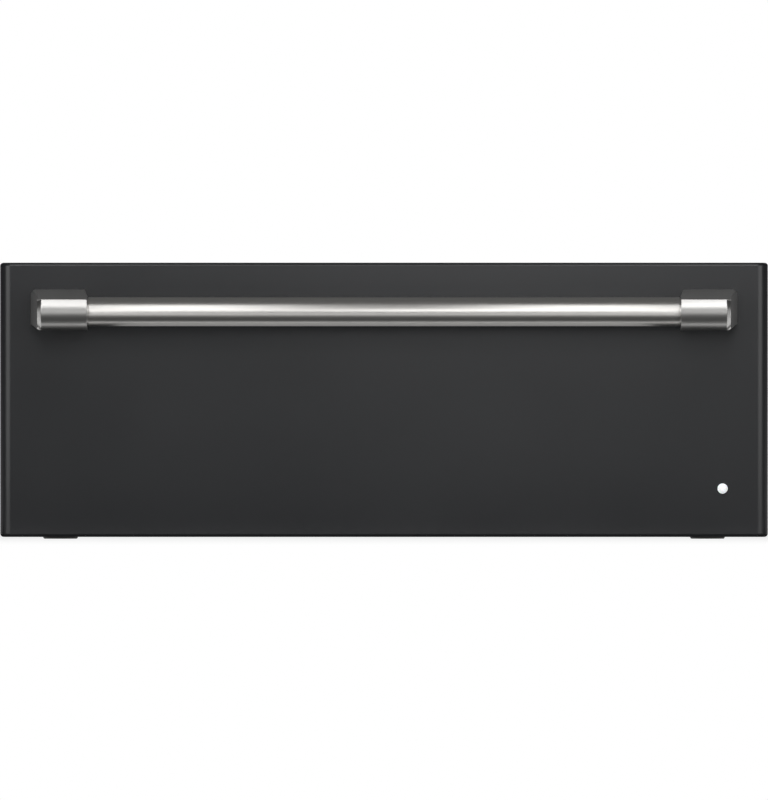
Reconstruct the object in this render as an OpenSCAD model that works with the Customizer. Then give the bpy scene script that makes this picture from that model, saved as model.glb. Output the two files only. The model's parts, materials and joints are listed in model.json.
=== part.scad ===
// Warming drawer: a folded sheet front with a round bar handle, and behind it a heated case with a deep tub
// on full-extension slides. Millimetres. The front faces -Y and +Z is up. The origin is on the surface that
// the feet stand on, under the middle of the whole drawer's box.

/* [Front panel] */
// Width of the drawer front
front_w = 756; // [750:1:775]
// Height of the drawer front
front_h = 270; // [266:1:285]
// Depth of the drawer front, from its face to the back of its liner
front_d = 26; // [26:1:34]
// Thickness of the front's outer sheet
skin_t = 1.2; // [1:0.1:1.5]
// Thickness of the front's liner sheet
front_liner_t = 1; // [0.8:0.1:1.2]
// Bend radius of the front's two side edges
side_bend_r = 10; // [8:0.5:11]
// Bend radius of the front's top and bottom edges
edge_bend_r = 3; // [2:0.5:4]
// Radius of the front's two lower corners, seen from the front
low_corner_r = 5; // [2:0.5:7]
// Radius of the front's two upper corners, seen from the front
top_corner_r = 1.5; // [1:0.5:4]
// Height of the front's lower edge above the surface
front_lift = 2; // [1:0.5:4]

/* [Handle] */
// Diameter of the handle bar
bar_d = 28.6; // [26:0.2:30]
// Wall of the handle bar's tube
bar_wall = 2; // [1.5:0.1:3]
// Distance of the bar's axis in front of the drawer front
bar_reach = 46; // [42:1:60]
// Distance of the bar's axis below the front's top edge
bar_drop = 48.5; // [46:0.5:80]
// Radius of the handle mount's rounded nose
nose_r = 21.7; // [20.5:0.1:24]
// Height of the nose's centre above the bar's axis
nose_rise = 3.7; // [2:0.1:5]
// Angle above the level at which the nose meets the mount's sloping top
nose_angle = 23.3; // [18:0.1:32]
// Length of the handle mount's nose
nose_len = 49; // [44:1:60]
// Chamfer round the nose's outer end
nose_chamfer = 3.9; // [2:0.1:5]
// Distance from the front's side edge to the nose's outer end
mount_inset = 37.2; // [34:0.2:60]
// Outward spread of the mount's foot beyond its nose
mount_flare = 6.9; // [3:0.1:9]
// Upward spread of the mount's foot above the nose's crease
mount_rise = 9.9; // [6:0.1:12]
// Diameter of the bar's end tenons
tenon_d = 22; // [16:0.5:23]
// Length of the bar's end tenons
tenon_len = 18; // [12:1:24]
// Width of the groove between bar and mount
groove_w = 1.2; // [0.8:0.1:2]
// Depth of the groove between bar and mount
groove_depth = 1.3; // [0.8:0.1:2]
// Thread diameter of the handle screws
handle_screw_d = 6; // [5:0.5:6]
// Distance between the two screws of one handle mount
handle_screw_pitch = 18; // [16:1:22]

/* [Indicator] */
// Diameter of the indicator lens
lens_d = 10; // [9:0.5:12]
// Height of the lens's dome in front of the panel
lens_rise = 3; // [2:0.1:4]
// Distance from the front's side edge to the lens's centre
lens_inset = 44.8; // [40:0.2:48]
// Height of the lens's centre above the front's lower edge
lens_height = 47.7; // [42:0.1:60]
// Diameter of the light pipe behind the lens
pipe_d = 6; // [5:0.5:7]

/* [Case] */
// Distance that the front stands out beyond each side of the case
side_overhang = 19; // [17:0.5:21]
// Distance that the front stands out above the case
top_overhang = 21; // [18:0.5:24]
// Depth of the case
case_d = 570; // [568:1:590]
// Thickness of the case's sheets
sheet_t = 1; // [0.8:0.1:1.2]
// Thickness of the face frame's sheet
frame_t = 1.2; // [1:0.1:1.6]
// Width of the face frame's flanges beyond the case's sides
flange_w = 13; // [12:0.5:15]
// Gap between the closed drawer front and the face frame
gasket_gap = 4; // [4:0.5:6]
// Height of the feet
foot_h = 10; // [8:1:12]
// Diameter of the feet
foot_d = 36; // [28:1:40]
// Distance of the feet's centres from the case's sides
foot_inset = 40; // [30:1:60]
// Diameter of the case's screws
case_screw_d = 3.9; // [3.5:0.1:4.2]
// Number of case screws along each edge
case_screw_count = 4; // [3:1:6]
// Diameter of the screw holes in the face frame's flanges
cabinet_hole_d = 5; // [4:0.5:6]
// Distance of those holes from the case's lower and upper edges
cabinet_hole_inset = 30; // [20:1:50]

/* [Cavity] */
// Thickness of the cavity's sheet
liner_t = 0.8; // [0.6:0.1:1]
// Thickness of the insulation under the cavity
floor_blanket_t = 25; // [22:1:26]
// Thickness of the insulation over the cavity
roof_blanket_t = 26.4; // [22:0.1:28]
// Thickness of the insulation beside the cavity
side_blanket_t = 34.2; // [33:0.1:36]
// Thickness of the insulation behind the cavity
back_blanket_t = 20; // [16:1:20]
// Depth of the bay behind the cavity, for that insulation and the wiring
bay_d = 28; // [27:0.5:36]
// Width of the wiring channel beside the side insulation
channel_w = 11; // [10:0.5:14]

/* [Tub] */
// Gap between the tub's rim and the cavity's roof
tub_headroom = 18; // [17:0.5:24]
// Gap between the tub and the back of the cavity
tub_back_gap = 25.2; // [20:0.1:40]
// Thickness of the tub's sheet
tub_t = 1; // [0.8:0.1:1.2]
// Radius of the tub's upright corners
tub_corner_r = 20; // [12:1:30]
// Height of the tub's underside above the cavity floor
tub_lift = 25; // [24:1:27]
// Width of the tub's rim
rim_w = 5; // [3:0.5:7]
// Height of the rack's long rods above the tub's floor
rack_height = 18; // [14:1:26]
// Diameter of the rack's long rods
rack_rod_d = 5; // [4.5:0.5:6]
// Diameter of the rack's cross wires
rack_wire_d = 3; // [2.5:0.5:4]
// Number of cross wires in the rack
rack_wire_count = 23; // [15:1:27]

/* [Slides] */
// Width of a slide, from the cavity wall to the tub
slide_t = 12.7; // [12.7:0.1:13.4]
// Height of a slide
slide_h = 45.4; // [44:0.2:48]
// Gap between the slides and the back of the cavity
slide_back_gap = 35.2; // [30:0.1:50]
// Length of a slide that stays inside the case when the drawer is fully out
slide_overlap = 20; // [20:5:60]
// Thickness of the slide members
member_t = 1.2; // [1:0.1:1.3]
// Diameter of the bearing balls
ball_d = 3.2; // [3:0.1:3.4]
// Number of balls in each row
ball_count = 6; // [4:1:8]
// Height of the slides' middle above the cavity floor
slide_height = 103; // [90:1:115]

/* [Heater] */
// Diameter of the tubular heating element
element_d = 6.5; // [6:0.1:7]
// Height of the element's axis above the cavity floor
element_height = 10; // [8:0.5:11]
// Distance between neighbouring runs of the element
run_pitch = 90; // [70:1:96]
// Height of the element guard's top above the cavity floor
guard_height = 18; // [16.5:0.5:20]
// Thickness of the element guard's sheet
guard_t = 0.8; // [0.6:0.1:1]
// Length of a slot in the guard
guard_slot_len = 34; // [20:1:38]
// Width of a slot in the guard
guard_slot_w = 6; // [4:0.5:8]
// Diameter of the temperature probe
probe_d = 6; // [5:0.5:7]
// Length of the probe inside the cavity
probe_len = 80; // [50:1:110]

/* [Controls] */
// Diameter of the temperature knob's skirt
knob_d = 28; // [24:1:31]
// Length of the temperature knob
knob_len = 14; // [11:0.5:14]
// Diameter of the control shaft
shaft_d = 6; // [5:0.5:6.5]
// Distance from the case's side to the knob's axis
control_inset = 18.5; // [18:0.5:19]
// Height of the knob's axis above the cavity floor
control_height = 103; // [90:1:115]
// Width of the control plate
plate_w = 32; // [30:1:33]
// Height of the control plate
plate_h = 72; // [60:1:80]
// Width and height of the pocket that clears the knob
pocket_w = 38; // [36:1:39]
// Depth of that pocket
pocket_d = 18; // [16:0.5:18]

/* [Moisture vent] */
// Number of vent slots
vent_count = 5; // [3:1:6]
// Distance between neighbouring vent slots
vent_pitch = 24; // [24:1:28]
// Width of a vent slot
vent_slot_w = 9; // [6:0.5:10]
// Travel of the vent slider
vent_travel = 12; // [11:0.5:12]
// Thickness of the vent slider
vent_t = 1.2; // [1:0.1:1.4]

/* [Cord inlet] */
// Bore of the cord gland
gland_bore_d = 8; // [6:0.5:10]
// Thread diameter of the cord gland
gland_thread_d = 18; // [16:1:20]
// Distance that the gland stands behind the case
gland_proud = 12; // [10:0.5:16]
// Distance from the case's side to the gland's axis
gland_inset = 67; // [64:1:70]
// Height of the gland's axis above the case's lower edge
gland_height = 52; // [50:1:58]

/* [Hidden] */
$fn = 96;
play = 0.05; // radial play of screws, rivets, shafts and tenons in their holes
seat = 0.3; // gap that keeps moving faces apart
over = 1; // distance that a cut runs past the face it opens
room = 1; // room round a piece in a soft blanket
steel = "#9a9c9e";
galvanised = "#aeb1b4";
slate = "#3a3b3d";
wool = "#d9d2bd";
black = "#222325";

// Depths, from the handle's nose at the front to the gland at the back
handle_reach = bar_reach + nose_r;
overall_d = handle_reach + front_d + gasket_gap + case_d + gland_proud;
panel_y = handle_reach - overall_d / 2;
liner_y = panel_y + front_d;
frame_y = liner_y + gasket_gap;
cavity_y0 = frame_y + frame_t;
back_y = frame_y + case_d;
panel_back_y = back_y - sheet_t;
shell_y1 = back_y - bay_d;
cavity_y1 = shell_y1 - liner_t;
tub_d = cavity_y1 - liner_y - tub_back_gap;

// Heights
front_z0 = front_lift;
front_z1 = front_lift + front_h;
case_z0 = foot_h;
case_z1 = front_z1 - top_overhang;
cavity_z0 = case_z0 + sheet_t + floor_blanket_t + liner_t;
cavity_z1 = case_z1 - sheet_t - roof_blanket_t - liner_t;
cavity_h = cavity_z1 - cavity_z0;
tub_z0 = cavity_z0 + tub_lift;
tub_z1 = cavity_z1 - tub_headroom;
tub_h = tub_z1 - tub_z0;
bar_z = front_z1 - bar_drop;
bar_y = panel_y - bar_reach;
slide_z = cavity_z0 + slide_height;
control_z = cavity_z0 + control_height;
lens_z = front_z0 + lens_height;
gland_z = case_z0 + gland_height;

// Half widths
case_x = front_w / 2 - side_overhang;
inner_x = case_x - sheet_t;
shell_x = inner_x - channel_w - side_blanket_t;
cavity_x = shell_x - liner_t;
cavity_w = 2 * cavity_x;
tub_x = cavity_x - slide_t;
lens_x = front_w / 2 - lens_inset;
control_x = case_x - control_inset;
gland_x = case_x - gland_inset;

// Handle mount
nose_x1 = front_w / 2 - mount_inset;
nose_x0 = nose_x1 - nose_len;
nose_z = bar_z + nose_rise;
mount_z0 = nose_z - nose_r;
crease_z = nose_z + nose_r * sin(nose_angle);
crease_y = bar_y - nose_r * cos(nose_angle);
mount_z1 = crease_z + mount_rise;
mount_x = (nose_x0 + nose_x1 + mount_flare) / 2;
outer_cut = [8.6, 6.1]; // how much the lower outer corner is cut, across and up
top_cut = [4.1, 3.4];
inner_cut = [3, 7.2];
bar_end_wall = 12;
handle_screw_depth = 14;
handle_head_t = 4;
handle_head_d = 1.8 * handle_screw_d;

// Case sheets
case_flange = 15;
case_screw_len = 7;
case_head_d = 1.9 * case_screw_d;
case_head_t = 2;
case_screw_end = 40;
case_screw_y = [for (i = [0:case_screw_count - 1])
  cavity_y0 + case_screw_end + i * (panel_back_y - cavity_y0 - 2 * case_screw_end) / (case_screw_count - 1)];
foot_x = case_x - foot_inset;
foot_y = [cavity_y0 + foot_inset, panel_back_y - foot_inset];
foot_stem_d = 8;
foot_barb_d = 10;
foot_barb_h = 2;
foot_taper = 1;
blanket_x = inner_x - sheet_t;
blanket_z0 = case_z0 + sheet_t;
floor_blanket_z1 = cavity_z0 - liner_t;
roof_blanket_z0 = cavity_z1 + liner_t;
roof_blanket_z1 = case_z1 - sheet_t;
flange_x = case_x + flange_w;
cabinet_hole_x = case_x + flange_w / 2;
cabinet_hole_z = [case_z0 + cabinet_hole_inset, case_z1 - cabinet_hole_inset];

// Back of the case: a bay at the right holds the terminal block behind a screwed cover
access_w = 80;
bay_margin = 12;
bay_x0 = gland_x - access_w / 2 - bay_margin;
access_lift = 8;
access_h = 62;
access_z = [case_z0 + access_lift, case_z0 + access_lift + access_h];
cover_margin = 9;
cover_edge = 5;
cover_screw_inset = 6;
cover_t = 1;
cover_screw_x = access_w / 2 + cover_margin / 2;
nut_t = 4;
gland_tail = 2;
gland_lip = 3;
nut_d = gland_thread_d + 6;
gland_flange_t = 5;
block_w = 60;
block_h = 25;
block_gap = 5;
block_ways = 4;
block_hole_d = 5;
block_hole_h = 8;
block_y0 = shell_y1 + block_gap;
block_z1 = blanket_z0 + block_h;
wire_d = 5;
knot_d = wire_d + 0.8;
branch_d = wire_d - 0.6;
twig_d = branch_d - 0.6;
wire_y = panel_back_y - knot_d / 2 - seat;
bus_z = gland_z + nut_d;
louvre_count = 12;
louvre_pitch = 34;
louvre_w = 24;
louvre_h = 4;
louvre_drop = 48;
louvre_row_gap = 24;
louvre_z = [case_z1 - louvre_drop - louvre_row_gap, case_z1 - louvre_drop];
back_screw_end = 18;
high_screw_x = [for (i = [-1:2 / 3:1.01]) i * (inner_x - back_screw_end)];
low_screw_x = [high_screw_x[0], high_screw_x[1], high_screw_x[2], bay_x0 - back_screw_end];

// Slides: sizes across, from the cavity wall (0) towards the tub (slide_t)
slide_inset = 6;
slide_y0 = frame_y + slide_inset;
slide_y1 = cavity_y1 - slide_back_gap;
travel = slide_y1 - slide_y0 - slide_overlap;
web_gap = 0.3;
cage_t = 0.7;
cage_lip_t = 1;
ball_play = 0.02;
cage_hole_play = 0.1;
lip_back = 2.5; // how far the members' lips end short of the tub
cage_lip_back = 0.8; // how far the cages' lips end short of the members'
outer_cage_u = member_t + web_gap;
middle_u = outer_cage_u + cage_t + web_gap;
inner_cage_u = middle_u + member_t + web_gap;
inner_u = inner_cage_u + cage_t + web_gap;
outer_lip_u = slide_t - lip_back;
outer_race = slide_h / 2 - member_t;
outer_ball_v = outer_race - ball_d / 2 - ball_play;
middle_v = outer_ball_v - ball_d / 2 - ball_play;
inner_race = middle_v - member_t;
inner_ball_v = inner_race - ball_d / 2 - ball_play;
inner_v = inner_ball_v - ball_d / 2 - ball_play;
outer_ball_u = (middle_u + outer_lip_u) / 2;
inner_ball_u = (inner_u + outer_lip_u + lip_back / 4) / 2;
cage_end_gap = 4;
cage_y0 = slide_y0 + travel / 4 + cage_end_gap;
cage_y1 = slide_y1 - travel / 4 - cage_end_gap;

// Heater
element_z = cavity_z0 + element_height;
element_end = 8;
run_count = 6;
run_x = [for (i = [0:run_count - 1]) (i - (run_count - 1) / 2) * run_pitch];
turn_r = run_pitch / 2;
run_end = 55;
run_y0 = cavity_y0 + run_end + turn_r;
run_y1 = cavity_y1 - run_end - turn_r;
clip_w = 12;
clip_t = 10;
clip_wall = 1.5;
clip_y = [run_y0 + 4 * clip_t, run_y1 - 4 * clip_t];
guard_x = run_x[run_count - 1] + element_d / 2 + clip_w;
guard_z = cavity_z0 + guard_height;
guard_end = 30;
guard_y = [cavity_y0 + guard_end, cavity_y1 - guard_end];
guard_columns = 2 * run_count + 1;
guard_rows = 9;
guard_margin = 10;
probe_offset = 35;
probe_x = run_x[run_count - 1] - probe_offset;
probe_collar_t = 1.5;
probe_z = (tub_z1 + cavity_z1) / 2;
cutout_x = -run_pitch;
cutout_z = slide_z;
cutout_d = 19;
cutout_t = 10;
cutout_plate = [36, 14, 1];
pocket_gap = 3;

// Controls
switch_w = 30;
switch_h = 40;
switch_d = 34;
control_bay = 26; // free length behind the switch for its leads
bush_d = 10;
shaft_reach = 16;
plate_t = 1;
knob_gap = 0.5;
knob_y1 = frame_y - plate_t - knob_gap;
knob_y0 = knob_y1 - knob_len;
grip_step = 4;
grip_d = knob_d - 2 * grip_step;
skirt_t = 3;
pointer_w = 2;
pointer_rise = 1;
knob_face_t = 4;
knob_bore_depth = knob_len - knob_face_t;
dot_count = 10;
dot_sweep = 270;
dot_d = 1;
dot_t = 0.3;
dot_ring_r = (knob_d + dot_d) / 2 + dot_t;
lamp_d = 5;
lamp_rim_d = 10;
lamp_rim_t = 2;
lamp_stand = 8;
lamp_nose = 1.5;
board = [18, 1.6, 24];
seal_gap = 1;
seal_w = 8;
seal_base_t = 1.5;
seal_crown_w = 5;
seal_t = gasket_gap - seat;
pocket_t = 0.8;
pocket_rim = 1.5;

// Drawer
tub_screw_x = tub_x * 2 / 3;
tub_screw_inset = 30;
tub_screw_z = [tub_z0 + tub_screw_inset, tub_z1 - tub_screw_inset];
tub_screw_d = 3.9;
tub_screw_len = 6;
tub_head_d = 8;
tub_head_t = 2.5;
rack_gap = 10;
rack_end = 22;
rack_leg_d = rack_rod_d + 1;
weld = 0.4; // depth that the welded wires sink into each other
vent_z = (tub_z1 + cavity_z1) / 2;
vent_gap = 3.5;
vent_edge = 2.5;
vent_h = cavity_z1 - tub_z1 - 2 * vent_gap;
vent_slot_h = vent_h - 2 * vent_edge;
vent_x = [for (i = [0:vent_count - 1]) (i - (vent_count - 1) / 2) * vent_pitch];
rivet_d = 4;
rivet_head_d = 8;
rivet_head_t = 1;
rivet_tail = 3;
rivet_x = vent_x[vent_count - 1] + vent_pitch / 2 + vent_travel + rivet_head_d;
vent_half = rivet_x + vent_travel + rivet_d;
vent_play = 0.15; // gap at each side of the slider, between the liner and the rivets' heads
steam_slot_w = 2 * vent_slot_w;
steam_slot_d = 4;
tab_w = 16;
tab_d = 8;
tab_t = 1.5;
front_blanket_inset = 12;
front_blanket_edge = 6;
liner_lip = 10;
clip_washer_t = 0.6;

// A box from its low to its high value along each axis
module block(x, y, z) {
  translate([x[0], y[0], z[0]]) cube([x[1] - x[0], y[1] - y[0], z[1] - z[0]]);
}

// A profile drawn in X and Z, drawn out from y0 to y1
module along_y(y0, y1) {
  translate([0, y1, 0]) rotate([90, 0, 0]) linear_extrude(y1 - y0) children();
}

// A profile drawn in Y and Z, drawn out from x0 to x1
module along_x(x0, x1) {
  translate([x0, 0, 0]) rotate([90, 0, 90]) linear_extrude(x1 - x0) children();
}

// A round rod along Y through x and z
module rod_y(d, x, z, y0, y1) {
  translate([x, y1, z]) rotate([90, 0, 0]) cylinder(d = d, h = y1 - y0);
}

// A round rod along X through y and z
module rod_x(d, y, z, x0, x1) {
  translate([x0, y, z]) rotate([0, 90, 0]) cylinder(d = d, h = x1 - x0);
}

// A round rod along Z through x and y
module rod_z(d, x, y, z0, z1) {
  translate([x, y, z0]) cylinder(d = d, h = z1 - z0);
}

// What a corner of radius r takes away from a square one
module spandrel(r) {
  difference() {
    translate([-over, -over]) square(r + over);
    translate([r, r]) circle(r);
  }
}

// A rectangle from the origin, with the radii of its corners from the low left one round to the top left one
module soft_rect(w, h, r) {
  corner = [[0, 0], [w, 0], [w, h], [0, h]];
  difference() {
    square([w, h]);
    for (i = [0:3]) if (r[i] > 0) translate(corner[i]) rotate(90 * i) spandrel(r[i]);
  }
}

// A copy at the left of what is made at the right
module both_sides() {
  children();
  mirror([1, 0, 0]) children();
}

// ---- Drawer front ----

// The front's outline as seen from the front, drawn in by inset
module front_outline(inset) {
  low = low_corner_r - inset;
  top = top_corner_r - inset;
  translate([inset - front_w / 2, front_z0 + inset])
    soft_rect(front_w - 2 * inset, front_h - 2 * inset, [low, low, top, top]);
}

// The front's bent form, drawn in by inset, from its face back to y1
module front_form(inset, y1) {
  half = front_w / 2 - inset;
  y0 = panel_y + inset;
  z0 = front_z0 + inset;
  side_r = side_bend_r - inset;
  edge_r = edge_bend_r - inset;
  intersection() {
    along_y(y0, y1) front_outline(inset);
    translate([-half, y0, z0]) linear_extrude(front_h - 2 * inset)
      soft_rect(2 * half, y1 - y0, [side_r, side_r, 0, 0]);
    along_x(-half, half) translate([y0, z0])
      soft_rect(y1 - y0, front_h - 2 * inset, [edge_r, 0, 0, edge_r]);
  }
}

// The screws of both handle mounts: children are drawn at each
module at_handle_screws() {
  for (side = [-1, 1], up = [-0.5, 0.5])
    translate([side * mount_x, 0, bar_z + up * handle_screw_pitch]) children();
}

// The screws that hold the tub to the front
module at_tub_screws() {
  for (side = [-1, 1], z = tub_screw_z) translate([side * tub_screw_x, 0, z]) children();
}

module front_skin() {
  color(slate) difference() {
    front_form(0, liner_y);
    front_form(skin_t, liner_y + over);
    at_handle_screws() rod_y(handle_screw_d + 2 * play, 0, 0, panel_y - over, panel_y + skin_t + over);
    rod_y(pipe_d + 2 * play, lens_x, lens_z, panel_y - over, panel_y + skin_t + over);
    // Steam leaves through slots in the top edge
    for (x = vent_x) translate([x - steam_slot_w / 2, panel_y + front_d / 2, front_z1 - skin_t - over])
      cube([steam_slot_w, steam_slot_d, skin_t + 2 * over]);
  }
}

module front_liner() {
  lip_y = liner_y - liner_lip;
  color(steel) difference() {
    along_y(lip_y, liner_y) front_outline(skin_t);
    along_y(lip_y - over, liner_y - front_liner_t) front_outline(skin_t + front_liner_t);
    along_y(liner_y - 2 * front_liner_t, liner_y + over)
      translate([control_x - pocket_w / 2, control_z - pocket_w / 2]) square(pocket_w);
    for (x = vent_x) along_y(liner_y - 2 * front_liner_t, liner_y + over)
      translate([x - vent_slot_w / 2, vent_z - vent_slot_h / 2]) square([vent_slot_w, vent_slot_h]);
    for (side = [-1, 1])
      rod_y(rivet_d + 2 * play, side * rivet_x, vent_z, liner_y - 2 * front_liner_t, liner_y + over);
    rod_y(pipe_d + 2 * play, lens_x, lens_z, liner_y - 2 * front_liner_t, liner_y + over);
    at_tub_screws() rod_y(tub_screw_d + 2 * play, 0, 0, liner_y - 2 * front_liner_t, liner_y + over);
  }
}

module front_insulation() {
  inside_y = panel_y + skin_t;
  half = front_w / 2 - front_blanket_inset;
  channel = vent_x[vent_count - 1] + steam_slot_w / 2 + room;
  hole = pocket_w / 2 + room;
  color(wool) difference() {
    block([-half, half], [inside_y, liner_y - front_liner_t],
      [front_z0 + front_blanket_edge, front_z1 - front_blanket_edge]);
    // The steam's way up to the slots in the skin
    block([-channel, channel], [inside_y + steam_slot_d, liner_y], [vent_z - vent_slot_h, front_z1]);
    block([control_x - hole, control_x + hole], [inside_y - over, liner_y],
      [control_z - hole, control_z + hole]);
    at_handle_screws()
      rod_y(handle_head_d + 2 * room, 0, 0, inside_y - over, inside_y + handle_head_t + room);
    rod_y(pipe_d + room, lens_x, lens_z, inside_y - over, liner_y);
    rod_y(2 * pipe_d + 2 * room, lens_x, lens_z, inside_y - over, inside_y + clip_washer_t + room);
    at_tub_screws() rod_y(tub_screw_d + 2 * room, 0, 0, liner_y - tub_screw_len - room, liner_y);
    for (side = [-1, 1])
      rod_y(rivet_head_d + 2 * room, side * rivet_x, vent_z, liner_y - rivet_tail - room, liner_y);
  }
}

// A cup in the liner that keeps the closed front clear of the temperature knob
module control_pocket() {
  outer = pocket_w / 2 - play;
  inner = outer - pocket_t;
  rim = outer + pocket_rim;
  color(black) translate([control_x, 0, control_z]) difference() {
    union() {
      block([-outer, outer], [liner_y - pocket_d, liner_y], [-outer, outer]);
      block([-rim, rim], [liner_y, liner_y + pocket_t], [-rim, rim]);
    }
    block([-inner, inner], [liner_y - pocket_d + pocket_t, liner_y + 2 * pocket_t], [-inner, inner]);
  }
}

module handle_bar() {
  bar_x1 = nose_x0;
  neck_x = bar_x1 - groove_w;
  end_x = bar_x1 + tenon_len;
  neck_r = bar_d / 2 - groove_depth;
  bore_x = neck_x - bar_end_wall;
  // Half of the bar's profile, as distances along the axis and out from it
  half = [[end_x, 0], [end_x, tenon_d / 2], [bar_x1, tenon_d / 2], [bar_x1, neck_r], [neck_x, neck_r],
    [neck_x, bar_d / 2]];
  right = [for (p = half) [p[1], p[0]]];
  left = [for (i = [len(half) - 1:-1:0]) [half[i][1], -half[i][0]]];
  color("#c9cacb") difference() {
    translate([0, bar_y, bar_z]) rotate([0, 90, 0]) rotate_extrude() polygon(concat(right, left));
    rod_x(bar_d - 2 * bar_wall, bar_y, bar_z, -bore_x, bore_x);
  }
}

// The mount at the right. Its nose is round about an axis along X, and its foot spreads up and outwards
module handle_mount() {
  base_x1 = nose_x1 + mount_flare;
  nose_y0 = bar_y - nose_r;
  difference() {
    intersection() {
      // Seen from the side: foot, sloping top, round nose and level underside
      union() {
        along_x(nose_x0, base_x1) polygon([[panel_y, mount_z0], [panel_y, mount_z1], [crease_y, crease_z],
          [bar_y, nose_z], [bar_y, mount_z0]]);
        rod_x(2 * nose_r, bar_y, nose_z, nose_x0, nose_x1 - nose_chamfer);
        translate([nose_x1 - nose_chamfer, bar_y, nose_z]) rotate([0, 90, 0])
          cylinder(r1 = nose_r, r2 = nose_r - nose_chamfer, h = nose_chamfer);
      }
      along_x(nose_x0, base_x1) polygon([[panel_y, mount_z0], [panel_y, mount_z1], [crease_y, crease_z],
        [nose_y0, crease_z], [nose_y0, mount_z0]]);
      // Seen from above: the outer side spreads towards the panel
      translate([0, 0, mount_z0]) linear_extrude(mount_z1 - mount_z0) polygon([[nose_x0, panel_y],
        [base_x1, panel_y], [nose_x1, bar_y], [nose_x1, nose_y0], [nose_x0, nose_y0]]);
      // Seen from the front: three corners are cut off
      along_y(nose_y0, panel_y) polygon([[nose_x0, mount_z0], [base_x1 - outer_cut[0], mount_z0],
        [base_x1, mount_z0 + outer_cut[1]], [base_x1, mount_z1 - top_cut[1]],
        [base_x1 - top_cut[0], mount_z1], [nose_x0 + inner_cut[0], mount_z1],
        [nose_x0, mount_z1 - inner_cut[1]]]);
    }
    rod_x(tenon_d + 2 * play, bar_y, bar_z, nose_x0 - over, nose_x0 + tenon_len + room);
    for (up = [-0.5, 0.5]) rod_y(handle_screw_d + 2 * play, mount_x, bar_z + up * handle_screw_pitch,
      panel_y - handle_screw_depth - room, panel_y + over);
  }
}

module handle_mount_right() {
  color("#b9babb") handle_mount();
}

module handle_mount_left() {
  color("#b9babb") mirror([1, 0, 0]) handle_mount();
}

module handle_screws() {
  inside_y = panel_y + skin_t;
  color(galvanised) at_handle_screws() difference() {
    union() {
      rod_y(handle_screw_d, 0, 0, panel_y - handle_screw_depth, inside_y);
      rod_y(handle_head_d, 0, 0, inside_y, inside_y + handle_head_t);
    }
    along_y(inside_y + handle_head_t / 2, inside_y + handle_head_t + over)
      circle(d = handle_screw_d, $fn = 6);
  }
}

// A dome with a light pipe that reaches back to the lamp on the case
module indicator_lens() {
  cap_r = (lens_d * lens_d / 4 + lens_rise * lens_rise) / (2 * lens_rise);
  color("white") union() {
    intersection() {
      translate([lens_x, panel_y - lens_rise + cap_r, lens_z]) sphere(cap_r);
      rod_y(lens_d + 2, lens_x, lens_z, panel_y - lens_rise - over, panel_y);
    }
    rod_y(pipe_d, lens_x, lens_z, panel_y, liner_y);
  }
}

module lens_clip() {
  inside_y = panel_y + skin_t;
  color(steel) difference() {
    rod_y(2 * pipe_d, lens_x, lens_z, inside_y, inside_y + clip_washer_t);
    rod_y(pipe_d + 2 * play, lens_x, lens_z, inside_y - over, inside_y + over);
  }
}

// ---- Tub ----

module drawer_tub() {
  y1 = liner_y + tub_d;
  inner_r = tub_corner_r - tub_t;
  color("#b4b6b8") difference() {
    union() {
      translate([-tub_x, liner_y, tub_z0]) linear_extrude(tub_h)
        soft_rect(2 * tub_x, tub_d, [tub_corner_r, tub_corner_r, tub_corner_r, tub_corner_r]);
      // The rim turns outwards at the sides and the back
      translate([-tub_x - rim_w, liner_y, tub_z1 - tub_t]) linear_extrude(tub_t)
        soft_rect(2 * (tub_x + rim_w), tub_d + rim_w, [0, 0, tub_corner_r, tub_corner_r]);
    }
    translate([tub_t - tub_x, liner_y + tub_t, tub_z0 + tub_t]) linear_extrude(tub_h)
      soft_rect(2 * (tub_x - tub_t), tub_d - 2 * tub_t, [inner_r, inner_r, inner_r, inner_r]);
    at_tub_screws() rod_y(tub_screw_d + 2 * play, 0, 0, liner_y - over, liner_y + tub_t + over);
  }
}

module tub_screws() {
  inside_y = liner_y + tub_t;
  color(galvanised) at_tub_screws() union() {
    rod_y(tub_screw_d, 0, 0, liner_y - tub_screw_len, inside_y);
    rod_y(tub_head_d, 0, 0, inside_y, inside_y + tub_head_t);
  }
}

module wire_rack() {
  floor_z = tub_z0 + tub_t;
  rod_z0 = floor_z + rack_height;
  wire_z = rod_z0 + (rack_rod_d + rack_wire_d) / 2 - weld;
  half = tub_x - tub_t - rack_gap;
  y0 = liner_y + tub_t + tub_head_t + rack_gap;
  y1 = liner_y + tub_d - tub_t - rack_gap;
  rod_at = [y0 + rack_end, (y0 + y1) / 2, y1 - rack_end];
  pitch = 2 * (half - rack_rod_d) / (rack_wire_count - 1);
  color(steel) union() {
    for (y = rod_at) rod_x(rack_rod_d, y, rod_z0, -half, half);
    for (i = [0:rack_wire_count - 1])
      rod_y(rack_wire_d, (i - (rack_wire_count - 1) / 2) * pitch, wire_z, y0, y1);
    for (side = [-1, 1], y = [rod_at[0], rod_at[2]])
      rod_z(rack_leg_d, side * (half - 2 * rack_rod_d), y, floor_z, rod_z0 + rack_rod_d / 4);
  }
}

// ---- Moisture vent ----

module vent_rivets() {
  shoulder_y = liner_y + vent_t + 2 * vent_play;
  tail_y = liner_y - rivet_tail;
  color(steel) for (side = [-1, 1]) union() {
    rod_y(rivet_d, side * rivet_x, vent_z, tail_y, shoulder_y);
    rod_y(rivet_head_d, side * rivet_x, vent_z, shoulder_y, shoulder_y + rivet_head_t);
    rod_y(1.5 * rivet_d, side * rivet_x, vent_z, tail_y, liner_y - front_liner_t);
  }
}

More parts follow.
